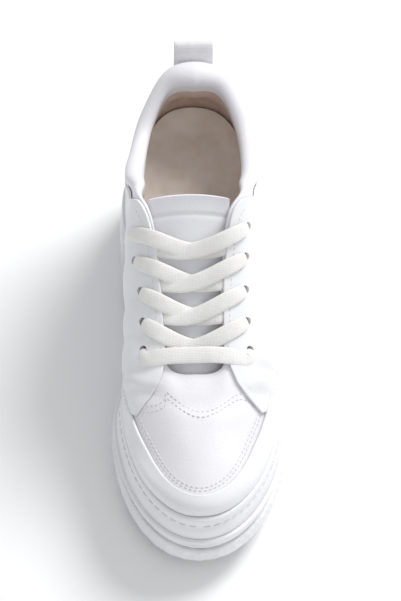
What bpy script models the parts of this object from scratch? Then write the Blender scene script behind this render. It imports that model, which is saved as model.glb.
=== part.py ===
"""Hidden wedge sneaker, one left shoe standing empty on its sole.

Lengths are millimetres until a mesh is made. s runs from the back of the heel forward to the
toe, x runs from the inner (medial) side to the outer (lateral) side, z runs up from the floor.
In the scene the toe points along -Y and +X is the outer side.

Everything hangs on rows of stations that run round the shoe: station 0 is the tip of the toe,
station 16 the back of the heel, the same rows serve both sides.
"""
import math

import bpy
import numpy as np

MM = 0.001
LENGTH = 271.0
HEEL_STATION = 16
AROUND = 2 * HEEL_STATION
GAP = 0.35

# The sole's plan: widest half width and middle line at a distance from the heel.
PLAN_COLUMNS = ("s", "half", "middle")
PLAN_ROWS = (
    (50.0, 40.6, 0.9),
    (80.0, 39.8, 1.8),
    (110.0, 39.2, 2.6),
    (135.0, 39.8, 3.1),
    (150.0, 42.2, 2.6),
    (165.0, 45.2, 1.7),
    (185.0, 47.4, 0.0),
)
TOE_START = 185.0
HEEL_END = 50.0
TOE_LEAN = -2.4

# Heights on the sole's side: floor side of the tread, top of the wraps, lip, rim.
SOLE_COLUMNS = ("s", "ground", "wrap", "lip", "rim")
SOLE_ROWS = (
    (0.0, 0.0, 31.8, 46.2, 62.0),
    (15.0, 0.0, 31.3, 45.9, 61.8),
    (40.0, 0.0, 28.4, 41.9, 59.2),
    (65.0, 0.0, 25.2, 38.4, 56.2),
    (95.0, 0.0, 23.5, 34.0, 51.8),
    (125.0, 0.0, 22.6, 30.4, 47.3),
    (155.0, 0.0, 22.3, 27.9, 44.0),
    (180.0, 0.0, 21.6, 27.2, 42.8),
    (205.0, 1.6, 21.3, 27.9, 43.0),
    (230.0, 3.9, 22.0, 30.2, 45.3),
    (252.0, 6.6, 24.0, 32.8, 47.0),
    (271.0, 9.4, 26.6, 33.9, 47.4),
)

# Stations round the shoe. Toe stations are angles on the toe's half ellipse, side stations are
# distances from the heel, heel stations are angles on the heel's half ellipse.
TOE_ANGLES = (90.0, 67.0, 46.0, 28.0, 12.5)
SIDE_STATIONS = (184.0, 166.0, 148.0, 130.0, 111.0, 91.0, 71.5, 53.0)
HEEL_ANGLES = (19.0, 42.0, 66.0, 90.0)

# The upper's ribs, one row for each station from the toe to the heel: the swell above the rim,
# the shoulder, and the top edge, with the top edge's own middle line.
RIB_COLUMNS = (
    "swell_s", "swell_half", "swell_z",
    "shoulder_s", "shoulder_half", "shoulder_z",
    "top_s", "top_half", "top_z", "top_middle",
)
RIB_ROWS = (
    (253.2, 0.0, 55.8, 229.0, 0.0, 65.2, 190.0, 0.0, 75.2, -3.2),
    (246.8, 15.5, 55.0, 224.0, 9.5, 65.8, 189.4, 8.6, 75.2, -3.2),
    (234.6, 26.0, 53.4, 214.5, 18.0, 65.8, 185.5, 14.8, 77.4, -3.5),
    (219.0, 34.0, 52.2, 204.0, 25.5, 66.0, 177.5, 15.8, 81.6, -3.8),
    (201.5, 37.8, 52.6, 192.0, 31.2, 67.4, 167.5, 15.8, 88.6, -4.1),
    (184.5, 39.6, 55.4, 178.5, 34.0, 71.4, 156.5, 16.0, 96.4, -4.5),
    (166.5, 39.2, 59.4, 163.5, 35.6, 76.6, 144.8, 16.8, 105.4, -4.8),
    (148.0, 37.2, 63.4, 147.5, 35.8, 83.4, 132.5, 18.8, 116.2, -5.0),
    (130.0, 36.0, 67.2, 131.0, 35.8, 92.4, 119.5, 22.8, 127.4, -5.4),
    (111.0, 35.6, 70.4, 112.0, 35.6, 99.0, 107.5, 30.6, 127.4, -4.0),
    (91.0, 35.4, 73.6, 91.5, 35.2, 99.0, 91.0, 34.2, 119.2, -2.6),
    (71.5, 35.2, 76.4, 72.0, 34.8, 98.4, 73.0, 33.6, 114.0, -1.4),
    (53.5, 33.8, 79.4, 55.0, 32.6, 98.0, 57.0, 30.8, 114.2, -0.6),
    (38.8, 29.6, 81.6, 41.4, 27.8, 100.0, 45.8, 26.2, 121.4, -0.2),
    (26.6, 22.8, 83.6, 29.8, 21.0, 104.0, 36.2, 19.6, 131.0, 0.0),
    (18.6, 12.6, 85.2, 22.2, 11.6, 107.0, 30.6, 10.8, 136.4, 0.0),
    (16.2, 0.0, 85.8, 19.8, 0.0, 108.0, 28.8, 0.0, 137.6, 0.0),
)
# Where the five guide loops sit along a rib: hidden foot, rim, swell, shoulder, top.
RIB_KNOTS = (0.0, 0.14, 0.38, 0.68, 1.0)

# Insets from the sole's widest outline: on the sides, at the toe, at the heel.
FOOT_INSET = (7.4, 11.6, 14.2)
FOOT_ABOVE_LIP = 0.7
FOOT_TUCK = 0.9
RAND_CLEARANCE = 0.6

WALL = 2.0
COLLAR_FROM = 8.4
COLLAR_FULL = 9.6
# Foam behind the collar's lining, by station from the throat to the heel tab.
PAD_COLUMNS = ("station", "foam")
PAD_ROWS = ((9.0, 6.2), (11.0, 6.2), (13.0, 4.8), (14.0, 5.6), (15.0, 8.6), (16.0, 10.4))
FLUSH_FROM = 9.3
FLUSH_FULL = 10.0
OVERLAY = 1.2
PANEL_SEAT = 0.8

# Seam heights above the floor: the mudguard's top edge by station.
MUDGUARD_TOP = (56.0, 55.8, 55.8, 57.0, 58.2, 60.2, 62.2, 64.0, 66.6, 69.4, 72.4, 75.0)
COUNTER_FRONT = 11.2
# The counter's top edge by station, from its front edge to the back of the heel.
COUNTER_COLUMNS = ("station", "z")
COUNTER_ROWS = (
    (11.2, 75.0), (11.5, 83.0), (12.0, 91.4), (12.5, 97.0), (13.0, 100.8),
    (13.6, 104.6), (14.3, 110.0), (15.0, 116.0), (16.0, 121.0),
)
# The flap's free front edge on each side, from the throat down to the mudguard.
FLAP_COLUMNS = ("s", "outer_x", "inner_x")
FLAP_ROWS = (
    (183.0, 13.4, -19.6), (188.0, 14.4, -20.4), (193.0, 17.2, -22.2),
    (197.5, 21.2, -25.8), (201.5, 25.8, -30.2), (205.0, 30.2, -34.6),
)
FLAP_FOOT = 3.75
QUARTER_BACK = 14.8
QUARTER_TOP = 0.93

EYELET_COLUMNS = ("s", "half", "middle")
EYELET_ROWS = (
    (176.0, 27.4, -2.7),
    (163.0, 26.7, -3.4),
    (149.2, 26.8, -4.2),
    (135.2, 28.2, -5.2),
    (122.4, 29.6, -5.6),
)
EYELET_BORE = 4.6


def column(rows, columns, name):
    """One named column of a table as an array."""
    index = columns.index(name)
    return np.array([row[index] for row in rows], float)


def spline_weights(knots, places, closed=False):
    """Rows of weights that give a cubic spline through values at the knots.

    A closed spline repeats after the last knot plus the step of the first, an open one ends
    straight.
    """
    knots = np.asarray(knots, float)
    count = len(knots)
    if closed:
        period = knots[-1] - knots[0] + (knots[1] - knots[0])
        steps = np.diff(np.append(knots, knots[0] + period))
        places = knots[0] + np.mod(np.asarray(places, float) - knots[0], period)
    else:
        steps = np.diff(knots)
        places = np.asarray(places, float)
    left = np.zeros((count, count))
    right = np.zeros((count, count))
    inner = range(count) if closed else range(1, count - 1)
    for i in inner:
        before, after = steps[i - 1], steps[i % len(steps)]
        previous, following = (i - 1) % count, (i + 1) % count
        left[i, previous] += before
        left[i, i] += 2.0 * (before + after)
        left[i, following] += after
        right[i, following] += 6.0 / after
        right[i, i] -= 6.0 / after + 6.0 / before
        right[i, previous] += 6.0 / before
    if not closed:
        left[0, 0] = left[-1, -1] = 1.0
    bend = np.linalg.solve(left, right)
    cell = np.clip(np.searchsorted(knots, places, side="right") - 1, 0, len(steps) - 1)
    step = steps[cell]
    b = (places - knots[cell]) / step
    a = 1.0 - b
    end = (cell + 1) % count
    weights = np.zeros((len(places), count))
    rows = np.arange(len(places))
    weights[rows, cell] += a
    weights[rows, end] += b
    curve_a = ((a**3 - a) * step**2 / 6.0)[:, None]
    curve_b = ((b**3 - b) * step**2 / 6.0)[:, None]
    return weights + curve_a * bend[cell] + curve_b * bend[end]


def table(rows, columns, name, s):
    """A smooth value of a named column at the distances s, flat beyond the table."""
    knots = column(rows, columns, columns[0])
    values = column(rows, columns, name)
    s = np.clip(np.asarray(s, float), knots[0], knots[-1])
    return spline_weights(knots, np.atleast_1d(s)) @ values


def smoothstep(low, high, value):
    share = np.clip((np.asarray(value, float) - low) / (high - low), 0.0, 1.0)
    return share * share * (3.0 - 2.0 * share)


def plan_stations():
    """The sole's widest outline at the stations of one side: s, half width, middle."""
    toe_half = table(PLAN_ROWS, PLAN_COLUMNS, "half", [TOE_START])[0]
    heel_half = table(PLAN_ROWS, PLAN_COLUMNS, "half", [HEEL_END])[0]
    heel_middle = table(PLAN_ROWS, PLAN_COLUMNS, "middle", [HEEL_END])[0]
    rows = []
    for angle in TOE_ANGLES:
        forward = math.sin(math.radians(angle))
        across = math.cos(math.radians(angle))
        s = TOE_START + (LENGTH - TOE_START) * forward
        rows.append((s, toe_half * across, TOE_LEAN * forward**1.5))
    for s in SIDE_STATIONS:
        half = table(PLAN_ROWS, PLAN_COLUMNS, "half", [s])[0]
        middle = table(PLAN_ROWS, PLAN_COLUMNS, "middle", [s])[0]
        rows.append((s, half, middle))
    for angle in HEEL_ANGLES:
        back = math.sin(math.radians(angle))
        across = math.cos(math.radians(angle))
        rows.append((HEEL_END * (1.0 - back), heel_half * across, heel_middle * (1.0 - 0.4 * back)))
    return rows


def both_sides(rows):
    """Rows of one side, toe to heel, made into a closed loop: outer side first."""
    loop = [(row, 1.0) for row in rows]
    loop += [(row, -1.0) for row in reversed(rows[1:-1])]
    return loop


def closed(points, stations):
    """Points of a smooth closed loop through one point for each station."""
    weights = spline_weights(np.arange(AROUND), stations, closed=True)
    return np.tensordot(weights, np.asarray(points, float), axes=(1, 0))


PLAN_LOOP = np.array([(row[0], row[2] + side * row[1]) for row, side in both_sides(plan_stations())])


def outline(stations, inset):
    """Plan points (s, x) of the outline moved in by the side, toe and heel insets."""
    step = 0.01
    here = closed(PLAN_LOOP, stations)
    ahead = closed(PLAN_LOOP, stations + step) - closed(PLAN_LOOP, stations - step)
    ahead /= np.linalg.norm(ahead, axis=1)[:, None]
    normal = np.stack([-ahead[:, 1], ahead[:, 0]], 1) * -1.0
    middle = np.array([LENGTH / 2.0, 0.0])
    outward = np.sign(((here - middle) * normal).sum(1))
    normal *= np.where(outward == 0.0, 1.0, outward)[:, None]
    side, toe, heel = inset
    amount = side + (toe - side) * np.clip(normal[:, 0], 0, 1) ** 2
    amount += (heel - side) * np.clip(-normal[:, 0], 0, 1) ** 2
    return here - normal * amount[:, None]


def inset_more(inset, amount):
    return tuple(value + amount for value in inset)


def sole_height(name, s):
    return table(SOLE_ROWS, SOLE_COLUMNS, name, s)


def sole_loop(stations, inset, height):
    """A closed loop on the sole: height is a function of s or a column's name with an addition."""
    plan = outline(stations, inset)
    z = height(plan[:, 0])
    return np.column_stack([plan[:, 0], plan[:, 1], z])


def rib_points():
    """Guide points of the upper: station, guide loop, (s, x, z)."""
    foot = outline(np.arange(AROUND, dtype=float), FOOT_INSET)
    tucked = outline(np.arange(AROUND, dtype=float), inset_more(FOOT_INSET, FOOT_TUCK))
    points = np.zeros((AROUND, len(RIB_KNOTS), 3))
    for i, (row, side) in enumerate(both_sides(RIB_ROWS)):
        rib = dict(zip(RIB_COLUMNS, row))
        s, x = foot[i]
        plan_middle = foot_middle(i, foot)
        low_s, low_x = tucked[i]
        points[i, 0] = (low_s, low_x, sole_height("lip", [low_s])[0] + FOOT_ABOVE_LIP)
        points[i, 1] = (s, x, sole_height("rim", [s])[0])
        swell_middle = 0.85 * plan_middle + 0.15 * rib["top_middle"]
        shoulder_middle = 0.35 * plan_middle + 0.65 * rib["top_middle"]
        points[i, 2] = (rib["swell_s"], swell_middle + side * rib["swell_half"], rib["swell_z"])
        points[i, 3] = (
            rib["shoulder_s"], shoulder_middle + side * rib["shoulder_half"], rib["shoulder_z"],
        )
        points[i, 4] = (rib["top_s"], rib["top_middle"] + side * rib["top_half"], rib["top_z"])
    return points


def foot_middle(i, foot):
    """Middle line between the two sides of the foot loop at a station."""
    other = (AROUND - i) % AROUND
    return 0.5 * (foot[i, 1] + foot[other, 1])


RIBS = rib_points()


def skin(stations, shares):
    """Points on the upper's own surface, at stations and shares of the rib, as pairs."""
    stations = np.asarray(stations, float)
    shares = np.asarray(shares, float)
    around = spline_weights(np.arange(AROUND), stations, closed=True)
    along = spline_weights(RIB_KNOTS, shares)
    return np.einsum("ij,ik,jkc->ic", around, along, RIBS)


def skin_normals(stations, shares):
    step = 0.004
    low = np.clip(shares - step, 0.0, 1.0)
    high = np.clip(shares + step, 0.0, 1.0)
    across = skin(stations + step * 4, shares) - skin(stations - step * 4, shares)
    up = skin(stations, high) - skin(stations, low)
    normal = np.cross(across, up)
    return normal / np.linalg.norm(normal, axis=1)[:, None]


def offset_skin(stations, shares, distance):
    """The upper's surface moved out along its normal."""
    stations = np.asarray(stations, float)
    shares = np.broadcast_to(np.asarray(shares, float), stations.shape)
    distance = np.broadcast_to(np.asarray(distance, float), stations.shape)
    points = skin(stations, shares)
    return points - skin_normals(stations, shares) * distance[:, None] * SKIN_SIGN


SKIN_SIGN = 1.0
_probe = offset_skin(np.array([8.0]), np.array([0.5]), np.array([5.0]))[0]
_base = skin(np.array([8.0]), np.array([0.5]))[0]
if _probe[1] < _base[1]:
    SKIN_SIGN = -1.0


def from_toe(stations):
    """Distance of a station from the toe, the same on both sides."""
    turn = np.mod(stations, AROUND)
    return np.minimum(turn, AROUND - turn)


def share_at_height(stations, z):
    """Share of the rib at which the skin reaches a height."""
    low = np.zeros(len(stations))
    high = np.ones(len(stations))
    for _ in range(40):
        middle = 0.5 * (low + high)
        under = skin(stations, middle)[:, 2] < z
        low = np.where(under, middle, low)
        high = np.where(under, high, middle)
    return 0.5 * (low + high)


def rim_share(stations, above):
    """Share of the rib just above the sole's rim."""
    points = skin(stations, np.full(len(stations), RIB_KNOTS[1]))
    return share_at_height(stations, sole_height("rim", points[:, 0]) + above)


def mudguard_share(stations):
    station = from_toe(stations)
    z = np.interp(station, np.arange(len(MUDGUARD_TOP)), MUDGUARD_TOP)
    return share_at_height(stations, z)


def counter_share(stations):
    station = from_toe(stations)
    z = table(COUNTER_ROWS, COUNTER_COLUMNS, "z", station)
    return share_at_height(stations, z)


def find_on_skin(s, x):
    """Station and share of the skin's upper half over a plan place."""
    best = None
    side = 1.0 if x > 0.0 else -1.0
    shares = np.linspace(0.45, 1.0, 56)
    for station in np.linspace(1.5, 9.5, 161):
        turn = station if side > 0 else AROUND - station
        points = skin(np.full(len(shares), turn), shares)
        miss = np.linalg.norm(points[:, :2] - np.array([s, x]), axis=1)
        k = int(miss.argmin())
        if best is None or miss[k] < best[0]:
            best = (miss[k], turn, shares[k])
    return best[1], best[2]


def flap_places(side):
    """Stations and shares of the flap's free edge on one side, from the throat down."""
    name = "outer_x" if side > 0 else "inner_x"
    places = [
        find_on_skin(s, x)
        for s, x in zip(column(FLAP_ROWS, FLAP_COLUMNS, "s"), column(FLAP_ROWS, FLAP_COLUMNS, name))
    ]
    stations = from_toe(np.array([place[0] for place in places]))
    shares = np.array([place[1] for place in places])
    order = np.argsort(stations)
    return stations[order], shares[order]


def quarter_foot(stations, side):
    """Lower edge of the quarter: flap front, then mudguard seam, then counter seam."""
    station = from_toe(stations)
    flap_stations, flap = flap_places(side)
    lower = mudguard_share(stations)
    front = np.interp(station, flap_stations, flap)
    past = smoothstep(flap_stations[-1], FLAP_FOOT, station)
    edge = np.maximum(front + (lower - front) * past, lower)
    return np.where(station > COUNTER_FRONT, counter_share(stations), edge)


def collar_share(stations):
    """0 along the throat, 1 along the padded collar."""
    return smoothstep(COLLAR_FROM, COLLAR_FULL, from_toe(stations))


def wall(stations, shares):
    """Wall of the upper: plain cloth and leather, with foam along the collar."""
    foam = table(PAD_ROWS, PAD_COLUMNS, "foam", from_toe(stations))
    return WALL + foam * collar_share(stations) * smoothstep(0.6, 0.88, shares)


def flush(stations, shares):
    """The collar stands as proud as the quarter panels that end under it."""
    along = smoothstep(FLUSH_FROM, FLUSH_FULL, from_toe(stations))
    return (OVERLAY + PANEL_SEAT) * along * smoothstep(QUARTER_TOP + 0.01, QUARTER_TOP + 0.035, shares)


def to_world(points):
    """(s, x, z) in millimetres to scene coordinates in metres."""
    points = np.asarray(points, float).reshape(-1, 3)
    return np.column_stack([points[:, 1], LENGTH / 2.0 - points[:, 0], points[:, 2]]) * MM


def material(name, colour, roughness):
    made = bpy.data.materials.new(name)
    made.use_nodes = True
    shader = made.node_tree.nodes["Principled BSDF"]
    shader.inputs["Base Color"].default_value = (*colour, 1.0)
    shader.inputs["Roughness"].default_value = roughness
    made.diffuse_color = (*colour, 1.0)
    return made


def make_object(name, points, faces, finish):
    mesh = bpy.data.meshes.new(name)
    mesh.from_pydata([tuple(p) for p in to_world(points)], [], [tuple(f) for f in faces])
    mesh.validate()
    made = bpy.data.objects.new(name, mesh)
    bpy.context.collection.objects.link(made)
    turn_out(made)
    mesh.materials.append(finish)
    mesh.shade_smooth()
    mesh.set_sharp_from_angle(angle=math.radians(40.0))
    return made


def turn_out(made):
    """Faces pointing out, as the signed volume says."""
    import bmesh

    work = bmesh.new()
    work.from_mesh(made.data)
    bmesh.ops.recalc_face_normals(work, faces=work.faces)
    if work.calc_volume(signed=True) < 0.0:
        bmesh.ops.reverse_faces(work, faces=work.faces)
    work.to_mesh(made.data)
    work.free()


def band_faces(loops, count, joined=False):
    """Quads between closed loops of equal count; joined closes the last loop to the first."""
    faces = []
    pairs = [(k, k + 1) for k in range(loops - 1)]
    if joined:
        pairs.append((loops - 1, 0))
    for low, high in pairs:
        for i in range(count):
            j = (i + 1) % count
            faces.append((low * count + i, low * count + j, high * count + j, high * count + i))
    return faces


def ladder_faces(start, count):
    """A cap across a loop that is symmetric about its first point, in rungs side to side."""
    faces = [(start, start + 1, start + count - 1)]
    half = count // 2
    for i in range(1, half - 1):
        faces.append((start + i, start + i + 1, start + count - i - 1, start + count - i))
    faces.append((start + half - 1, start + half, start + half + 1))
    return faces


def filled(name, loops, finish):
    """A solid of stacked loops with a cap at both ends."""
    count = len(loops[0])
    faces = band_faces(len(loops), count)
    faces += ladder_faces(0, count)
    faces += ladder_faces((len(loops) - 1) * count, count)
    return make_object(name, np.concatenate(loops), faces, finish)


def ring(name, loops, finish):
    """A solid whose section goes all the way round."""
    count = len(loops[0])
    return make_object(name, np.concatenate(loops), band_faces(len(loops), count, True), finish)


def shell(name, outer, inner, finish):
    """A solid sheet between two grids of the same shape."""
    rows, columns = outer.shape[:2]
    size = rows * columns

    def at(layer, r, c):
        return layer * size + r * columns + c

    faces = []
    for r in range(rows - 1):
        for c in range(columns - 1):
            faces.append((at(0, r, c), at(0, r, c + 1), at(0, r + 1, c + 1), at(0, r + 1, c)))
            faces.append((at(1, r, c), at(1, r + 1, c), at(1, r + 1, c + 1), at(1, r, c + 1)))
    for c in range(columns - 1):
        faces.append((at(0, 0, c), at(1, 0, c), at(1, 0, c + 1), at(0, 0, c + 1)))
        last = rows - 1
        faces.append((at(0, last, c), at(0, last, c + 1), at(1, last, c + 1), at(1, last, c)))
    for r in range(rows - 1):
        faces.append((at(0, r, 0), at(0, r + 1, 0), at(1, r + 1, 0), at(1, r, 0)))
        last = columns - 1
        faces.append((at(0, r, last), at(1, r, last), at(1, r + 1, last), at(0, r + 1, last)))
    points = np.concatenate([outer.reshape(-1, 3), inner.reshape(-1, 3)])
    return make_object(name, points, faces, finish)


def apply_boolean(target, cutter, operation):
    cut = target.modifiers.new("cut", "BOOLEAN")
    cut.object = cutter
    cut.operation = operation
    cut.solver = "EXACT"
    graph = bpy.context.evaluated_depsgraph_get()
    evaluated = target.evaluated_get(graph)
    mesh = bpy.data.meshes.new_from_object(evaluated)
    target.modifiers.clear()
    old = target.data
    target.data = mesh
    mesh.name = target.name
    bpy.data.meshes.remove(old)


def drop(made):
    mesh = made.data
    bpy.data.objects.remove(made)
    bpy.data.meshes.remove(mesh)


# Sole

TRAY_FLOOR = 4.6
TRAY_WALL = 3.2
TOE_WRAP_END = 153.0
HEEL_WRAP_END = 65.0
WRAP_TURN = 5.0
WAIST_WALL = 5.8

SOLE_STATIONS = np.array(sorted(
    set(np.arange(0.0, AROUND, 0.5))
    | {6.6, 6.85, 11.15, 11.25, 11.4, 32 - 6.6, 32 - 6.85, 32 - 11.15, 32 - 11.25, 32 - 11.4}
))


def wall_top(s):
    """Top of the outsole's side: high at the toe and heel wraps, low along the waist."""
    toe = smoothstep(TOE_WRAP_END - WRAP_TURN, TOE_WRAP_END + WRAP_TURN, s)
    heel = 1.0 - smoothstep(HEEL_WRAP_END - WRAP_TURN, HEEL_WRAP_END + WRAP_TURN, s)
    up = np.maximum(toe, heel)
    low = np.maximum(sole_height("ground", s), 0.0) + WAIST_WALL
    return low + (sole_height("wrap", s) - low) * up


def ground(s):
    return np.maximum(sole_height("ground", s), 0.0)


def between(low, high, share):
    """Height function at a share of the way between two others."""
    return lambda s: low(s) + (high(s) - low(s)) * share


def raised(base, amount):
    return lambda s: base(s) + amount


def lip(s):
    return sole_height("lip", s)


def rim(s):
    return sole_height("rim", s)


TREAD_EDGE = (4.2, 8.6, 3.4)
TREAD_TOP = (2.0, 5.4, 1.4)
WRAP_SWELL = (0.0, 0.0, 0.0)
WRAP_TOP = (0.9, 1.2, 3.2)
WAIST_TOP = (1.6, 4.0, 1.0)
MIDSOLE_FOOT = (1.9, 2.4, 4.4)
LIP_UNDER = (1.2, 2.4, 5.6)
LIP_EDGE = (0.9, 2.6, 6.6)
LIP_TOP = (1.6, 3.4, 7.6)
RAND_FOOT = (2.6, 4.6, 9.0)
RAND_MIDDLE = (3.6, 5.6, 10.8)
RIM_EDGE = (4.6, 7.2, 12.0)
RIM_TOP = (5.4, 8.2, 12.6)


def make_outsole(finish):
    stations = SOLE_STATIONS
    top = wall_top
    inner = inset_more(WRAP_TOP, TRAY_WALL)
    loops = [
        sole_loop(stations, inset_more(inner, 0.6), raised(ground, TRAY_FLOOR)),
        sole_loop(stations, inner, raised(top, -0.4)),
        sole_loop(stations, inset_more(WRAP_TOP, 0.9), top),
        sole_loop(stations, WRAP_TOP, raised(top, -0.9)),
        sole_loop(stations, WRAP_SWELL, between(ground, top, 0.66)),
        sole_loop(stations, TREAD_TOP, between(ground, top, 0.2)),
        sole_loop(stations, TREAD_EDGE, ground),
    ]
    made = filled("outsole", loops, finish)
    cutter = tread_grooves()
    apply_boolean(made, cutter, "DIFFERENCE")
    drop(cutter)
    return made


# Tread grooves: how far from the heel, and how deep.
GROOVE_ROWS = (14.0, 27.0, 40.0, 53.0, 84.0, 104.0, 124.0, 157.0, 171.0, 185.0, 199.0, 213.0, 227.0)
GROOVE_WIDTH = 3.4
GROOVE_DEPTH = 2.6


def tread_grooves():
    """One cutter of bars across the sole."""
    points, faces = [], []
    for s in GROOVE_ROWS:
        top = float(sole_height("ground", [s])[0]) + GROOVE_DEPTH
        start = len(points)
        for ds in (-GROOVE_WIDTH / 2, GROOVE_WIDTH / 2):
            for x in (-60.0, 60.0):
                for z in (-5.0, top):
                    points.append((s + ds, x, z))
        box = ((0, 1, 3, 2), (4, 6, 7, 5), (0, 4, 5, 1), (2, 3, 7, 6), (0, 2, 6, 4), (1, 5, 7, 3))
        faces += [tuple(start + k for k in face) for face in box]
    cutter = make_object("groove_cutter", points, faces, None)
    cutter.hide_render = True
    cutter.display_type = "WIRE"
    return cutter


def make_midsole(finish):
    """Foam platform: it sits in the outsole's tray, and steps out over its wall to the lip."""
    stations = SOLE_STATIONS
    seat = inset_more(WRAP_TOP, TRAY_WALL + 0.6 + GAP)
    bare = inset_more(WAIST_TOP, 0.6)
    loops = [
        sole_loop(stations, inset_more(seat, 0.5), raised(ground, TRAY_FLOOR + GAP)),
        sole_loop(stations, seat, raised(wall_top, GAP + 0.1)),
        sole_loop(stations, inset_more(bare, 0.4), raised(wall_top, GAP + 0.2)),
        sole_loop(stations, MIDSOLE_FOOT, between(wall_top, lip, 0.5)),
        sole_loop(stations, LIP_UNDER, raised(lip, -3.2)),
        sole_loop(stations, LIP_EDGE, raised(lip, -1.6)),
        sole_loop(stations, LIP_TOP, raised(lip, -GAP)),
    ]
    return filled("midsole", loops, finish)


UPPER_STATIONS = np.arange(0.0, AROUND, 0.5)


def make_rand(finish):
    """The stitched cup band with its rim lip."""
    stations = UPPER_STATIONS
    inner = inset_more(FOOT_INSET, -RAND_CLEARANCE)
    loops = [
        sole_loop(stations, RAND_FOOT, lip),
        sole_loop(stations, RAND_MIDDLE, between(lip, rim, 0.5)),
        sole_loop(stations, RIM_EDGE, raised(rim, -1.4)),
        sole_loop(stations, RIM_TOP, rim),
        sole_loop(stations, inner, rim),
        sole_loop(stations, inner, lip),
    ]
    return ring("rand", loops, finish)


# Upper

SKIN_SHARES = (0.0, 0.14, 0.26, 0.38, 0.5, 0.62, 0.74, 0.86, 0.94, 0.97, 1.0)
INNER_SHARES = (1.0, 0.91, 0.81, 0.7, 0.55, 0.37, 0.18, 0.0)
CAP_ANGLES = (40.0, 90.0, 140.0)
CAP_RISE = 0.8


def make_upper(finish):
    """One hollow solid: outer skin up, over the top edge, and down the lining."""
    stations = UPPER_STATIONS
    full = np.ones(len(stations))
    loops = [offset_skin(stations, full * v, flush(stations, full * v)) for v in SKIN_SHARES]
    inner_edge = offset_skin(stations, full, -wall(stations, full))
    outer_edge = loops[-1]
    rise = skin(stations, full) - skin(stations, full * 0.98)
    rise /= np.linalg.norm(rise, axis=1)[:, None]
    centre = 0.5 * (outer_edge + inner_edge)
    reach = outer_edge - centre
    radius = np.linalg.norm(reach, axis=1)[:, None]
    for angle in CAP_ANGLES:
        turn = math.radians(angle)
        loops.append(centre + reach * math.cos(turn) + rise * radius * CAP_RISE * math.sin(turn))
    loops += [offset_skin(stations, full * v, -wall(stations, full * v)) for v in INNER_SHARES]
    return ring("upper", loops, finish)


def overlay_shell(name, stations, low, high, rows, finish):
    """A panel on the upper's own surface between two edges given as shares of the rib."""
    outer, inner = [], []
    for share in np.linspace(0.0, 1.0, rows):
        place = low + (high - low) * share
        outer.append(offset_skin(stations, place, PANEL_SEAT + OVERLAY))
        inner.append(offset_skin(stations, place, PANEL_SEAT))
    return shell(name, np.array(outer), np.array(inner), finish)


SEAM_SHARE = 0.006


def make_mudguard(finish):
    stations = np.arange(-COUNTER_FRONT + 0.2, COUNTER_FRONT - 0.19, 0.5)
    stations = np.append(stations, COUNTER_FRONT - 0.1)
    stations[0] = -COUNTER_FRONT + 0.1
    low = rim_share(stations, 0.7)
    high = mudguard_share(stations) - SEAM_SHARE
    return overlay_shell("mudguard", stations, low, high, 4, finish)


def make_counter(finish):
    stations = np.arange(11.5, AROUND - 11.4, 0.5)
    stations = np.concatenate([[COUNTER_FRONT + 0.02], stations, [AROUND - COUNTER_FRONT - 0.02]])
    low = rim_share(stations, 0.7)
    high = counter_share(stations) - SEAM_SHARE
    return overlay_shell("heel_counter", stations, low, high, 5, finish)


def make_quarter(name, side, finish):
    """Eyestay and quarter in one panel, from the free front edge back to the heel."""
    flap_stations = flap_places(side)[0]
    station = np.arange(4.0, QUARTER_BACK, 0.5)
    front = np.linspace(flap_stations[0], flap_stations[-1], 5)
    front = np.append(front, FLAP_FOOT)
    station = np.concatenate([front, station[station > FLAP_FOOT + 0.1], [QUARTER_BACK]])
    stations = station if side > 0 else AROUND - station
    low = quarter_foot(stations, side) + SEAM_SHARE
    high = 1.0 - (1.0 - QUARTER_TOP) * smoothstep(COLLAR_FROM, FLUSH_FROM, station)
    low = np.minimum(low, high - 0.02)
    return overlay_shell(name, stations, low, high, 7, finish)


def eyelet_places():
    """Eyelet middles on both sides: point on the skin, and its outward direction."""
    places = []
    for side in (1.0, -1.0):
        for row in EYELET_ROWS:
            eye = dict(zip(EYELET_COLUMNS, row))
            middle = eye["middle"]
            station, share = find_on_skin(eye["s"], middle + side * eye["half"])
            point = skin(np.array([station]), np.array([share]))[0]
            out = offset_skin(np.array([station]), np.array([share]), np.array([1.0]))[0] - point
            places.append((point, out, station))
    return places


BORE_SIDES = 10


def eyelet_cutter():
    """Round bars through the eyelet places, one mesh."""
    points, faces = [], []
    for point, out, _ in eyelet_places():
        side = np.cross(out, (0.0, 0.0, 1.0))
        side /= np.linalg.norm(side)
        other = np.cross(out, side)
        start = len(points)
        for reach in (-6.0, 6.0):
            for k in range(BORE_SIDES):
                turn = 2.0 * math.pi * k / BORE_SIDES
                spoke = side * math.cos(turn) + other * math.sin(turn)
                points.append(point + out * reach + spoke * EYELET_BORE / 2.0)
        for k in range(BORE_SIDES):
            j = (k + 1) % BORE_SIDES
            faces.append((start + k, start + j, start + BORE_SIDES + j, start + BORE_SIDES + k))
        faces.append(tuple(start + k for k in range(BORE_SIDES)))
        faces.append(tuple(start + BORE_SIDES + k for k in reversed(range(BORE_SIDES))))
    cutter = make_object("eyelet_cutter", points, faces, None)
    cutter.hide_render = True
    cutter.display_type = "WIRE"
    return cutter


# Insole with the hidden wedge

BED_COLUMNS = ("s", "z")
BED_ROWS = (
    (14.0, 83.5), (40.0, 82.0), (60.0, 78.5), (80.0, 71.0), (100.0, 61.0), (120.0, 51.5),
    (140.0, 44.6), (160.0, 41.0), (185.0, 39.2), (215.0, 40.4), (240.0, 43.0), (262.0, 46.0),
)
BED_CLEARANCE = 1.0
# The footbed's rim is cupped: how far it stands over the middle, from the heel forward.
CUP_COLUMNS = ("s", "rise")
CUP_ROWS = ((14.0, 10.0), (35.0, 8.6), (60.0, 5.4), (90.0, 2.4), (130.0, 1.2), (262.0, 1.0))
SIDE_SHARES = (0.0, 0.5, 0.94)
BED_STEPS = ((0.88, 0.55), (0.66, 0.1))


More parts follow.
